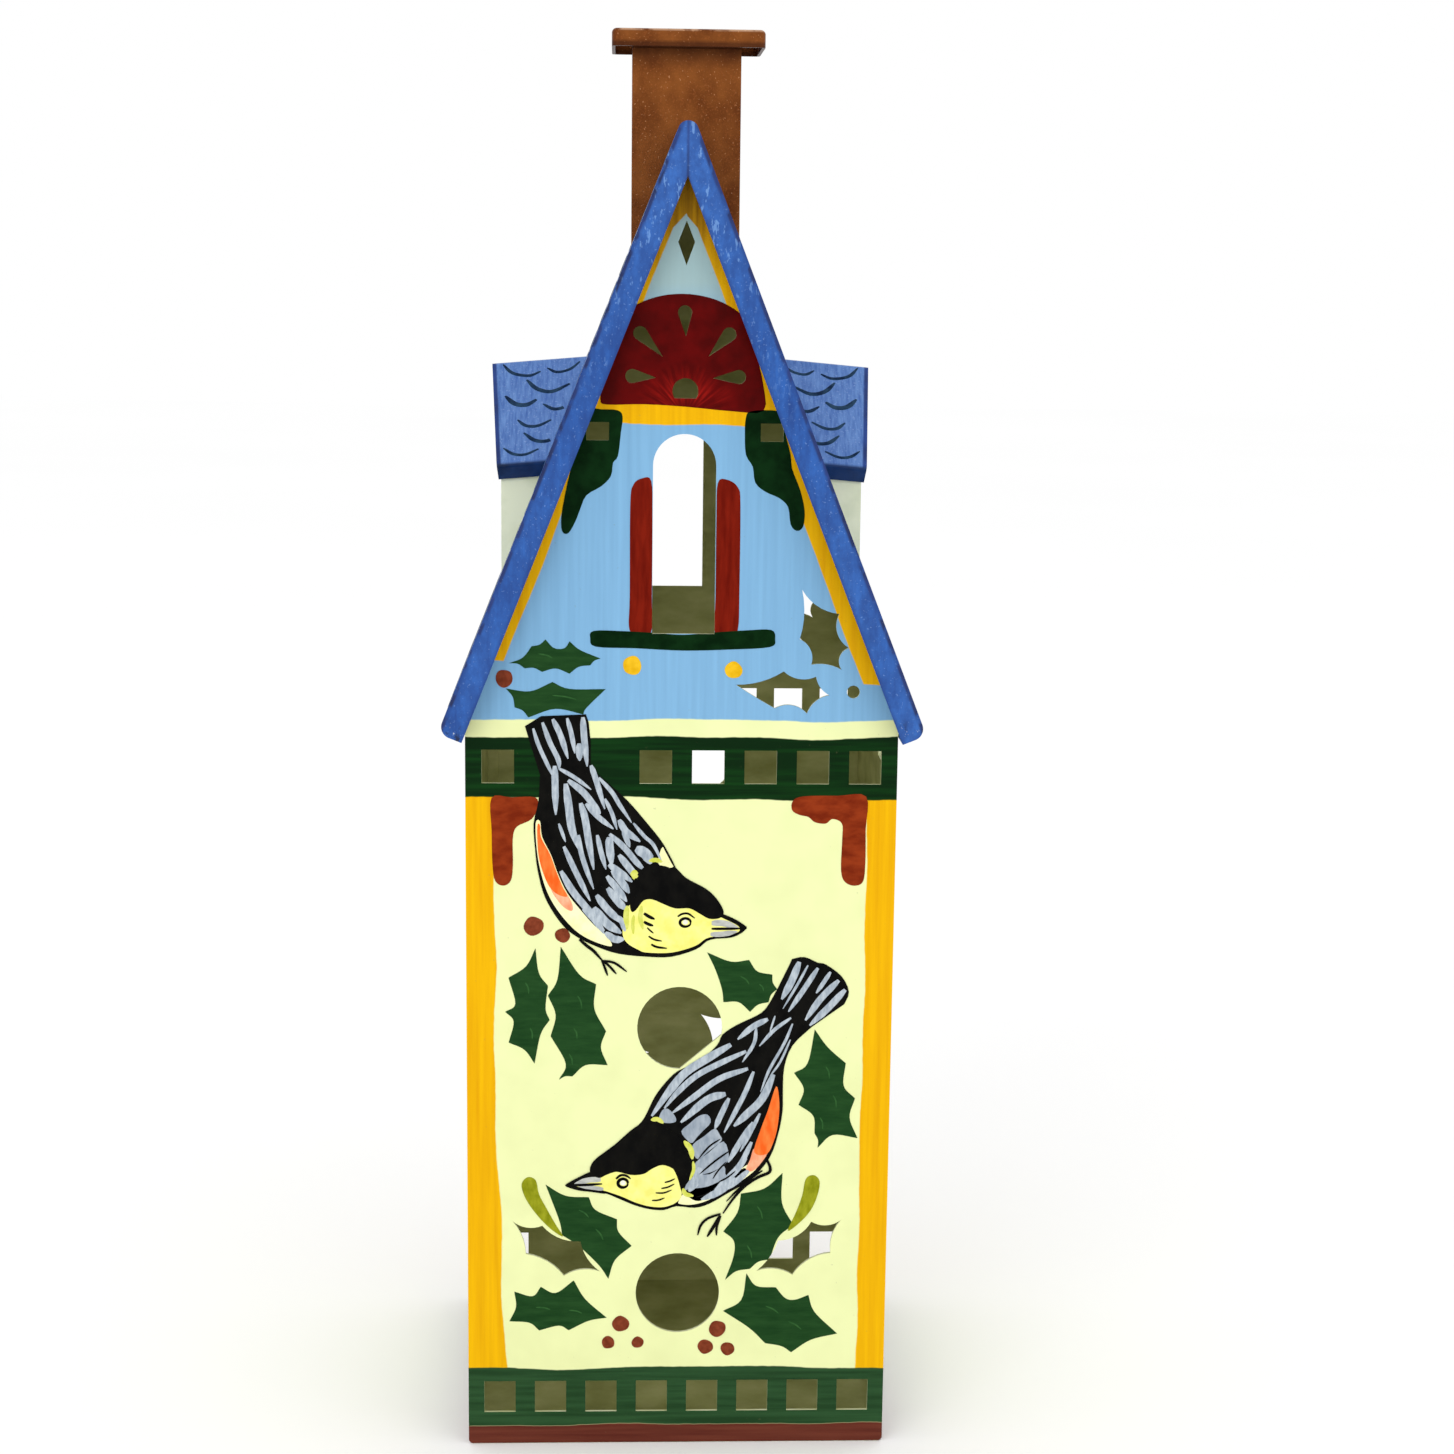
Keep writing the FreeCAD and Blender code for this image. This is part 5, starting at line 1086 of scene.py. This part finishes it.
# ---------------------------------------------------------------- floor, light and camera
FLOOR_SIZE = 6.0
FLOOR_GAP = 0.0002
paper = brushed("studio_paper", (254, 254, 254), (255, 255, 255), 900.0, roughness=0.9, gloss=0.0, depth=0.0)
floor_mesh = bmesh.new()
bmesh.ops.create_grid(floor_mesh, x_segments=8, y_segments=8, size=FLOOR_SIZE)
studio_floor = placed("studio_floor", floor_mesh, paper)
studio_floor.location.z = -FLOOR_GAP

world = bpy.data.worlds.new("studio")
bpy.context.scene.world = world
world.use_nodes = True
daylight = world.node_tree.nodes["Background"]
daylight.inputs["Color"].default_value = (1.0, 1.0, 1.0, 1.0)
daylight.inputs["Strength"].default_value = 1.0


def softbox(name, place, aim, size, power):
    """A soft lamp, in metres and watts, that the camera doesn't see."""
    lamp = bpy.data.lights.new(name, "AREA")
    lamp.shape = "RECTANGLE"
    lamp.size, lamp.size_y = size
    lamp.energy = power
    holder = bpy.data.objects.new(name, lamp)
    holder.location = place
    holder.rotation_euler = (Vector(aim) - Vector(place)).to_track_quat("-Z", "Y").to_euler()
    holder.visible_camera = False
    bpy.context.scene.collection.objects.link(holder)


INSIDE_GLOW = 1.8  # watts for each square metre of a lamp inside the house
BEHIND_FRONT = 0.008
for name, width, height, place_z in (("inside_low", 0.1, 0.2, 0.115), ("inside_high", 0.034, 0.1, 0.285)):
    place = Vector((0, front_low.y * MM + BEHIND_FRONT, place_z))
    softbox(name, place, place + Y, (width, height), INSIDE_GLOW * width * height)
middle = Vector((0, 0, 0.21))
softbox("key", (-0.7, -1.3, 1.1), middle, (0.8, 0.8), 3.5)
softbox("fill", (1.0, -1.1, 0.6), middle, (0.9, 0.9), 1.5)

CAMERA_PLACE = Vector((-0.0191, -0.8079, 0.3562))
PITCH, YAW, ROLL = (math.radians(a) for a in (10.031, 2.457, 0.687))
FOCAL_LENGTH, SENSOR_WIDTH = 64.405, 36.0
forward = Vector((math.sin(YAW) * math.cos(PITCH), math.cos(YAW) * math.cos(PITCH), -math.sin(PITCH)))
level = Vector((math.cos(YAW), -math.sin(YAW), 0))
upright = level.cross(forward)
right = math.cos(ROLL) * level + math.sin(ROLL) * upright
top = -math.sin(ROLL) * level + math.cos(ROLL) * upright
lens = bpy.data.cameras.new("camera")
lens.lens = FOCAL_LENGTH
lens.sensor_width = SENSOR_WIDTH
camera = bpy.data.objects.new("camera", lens)
camera.matrix_world = Matrix.Translation(CAMERA_PLACE) @ Matrix((right, top, -forward)).transposed().to_4x4()
bpy.context.scene.collection.objects.link(camera)
bpy.context.scene.camera = camera
bpy.context.scene.view_settings.view_transform = "Standard"
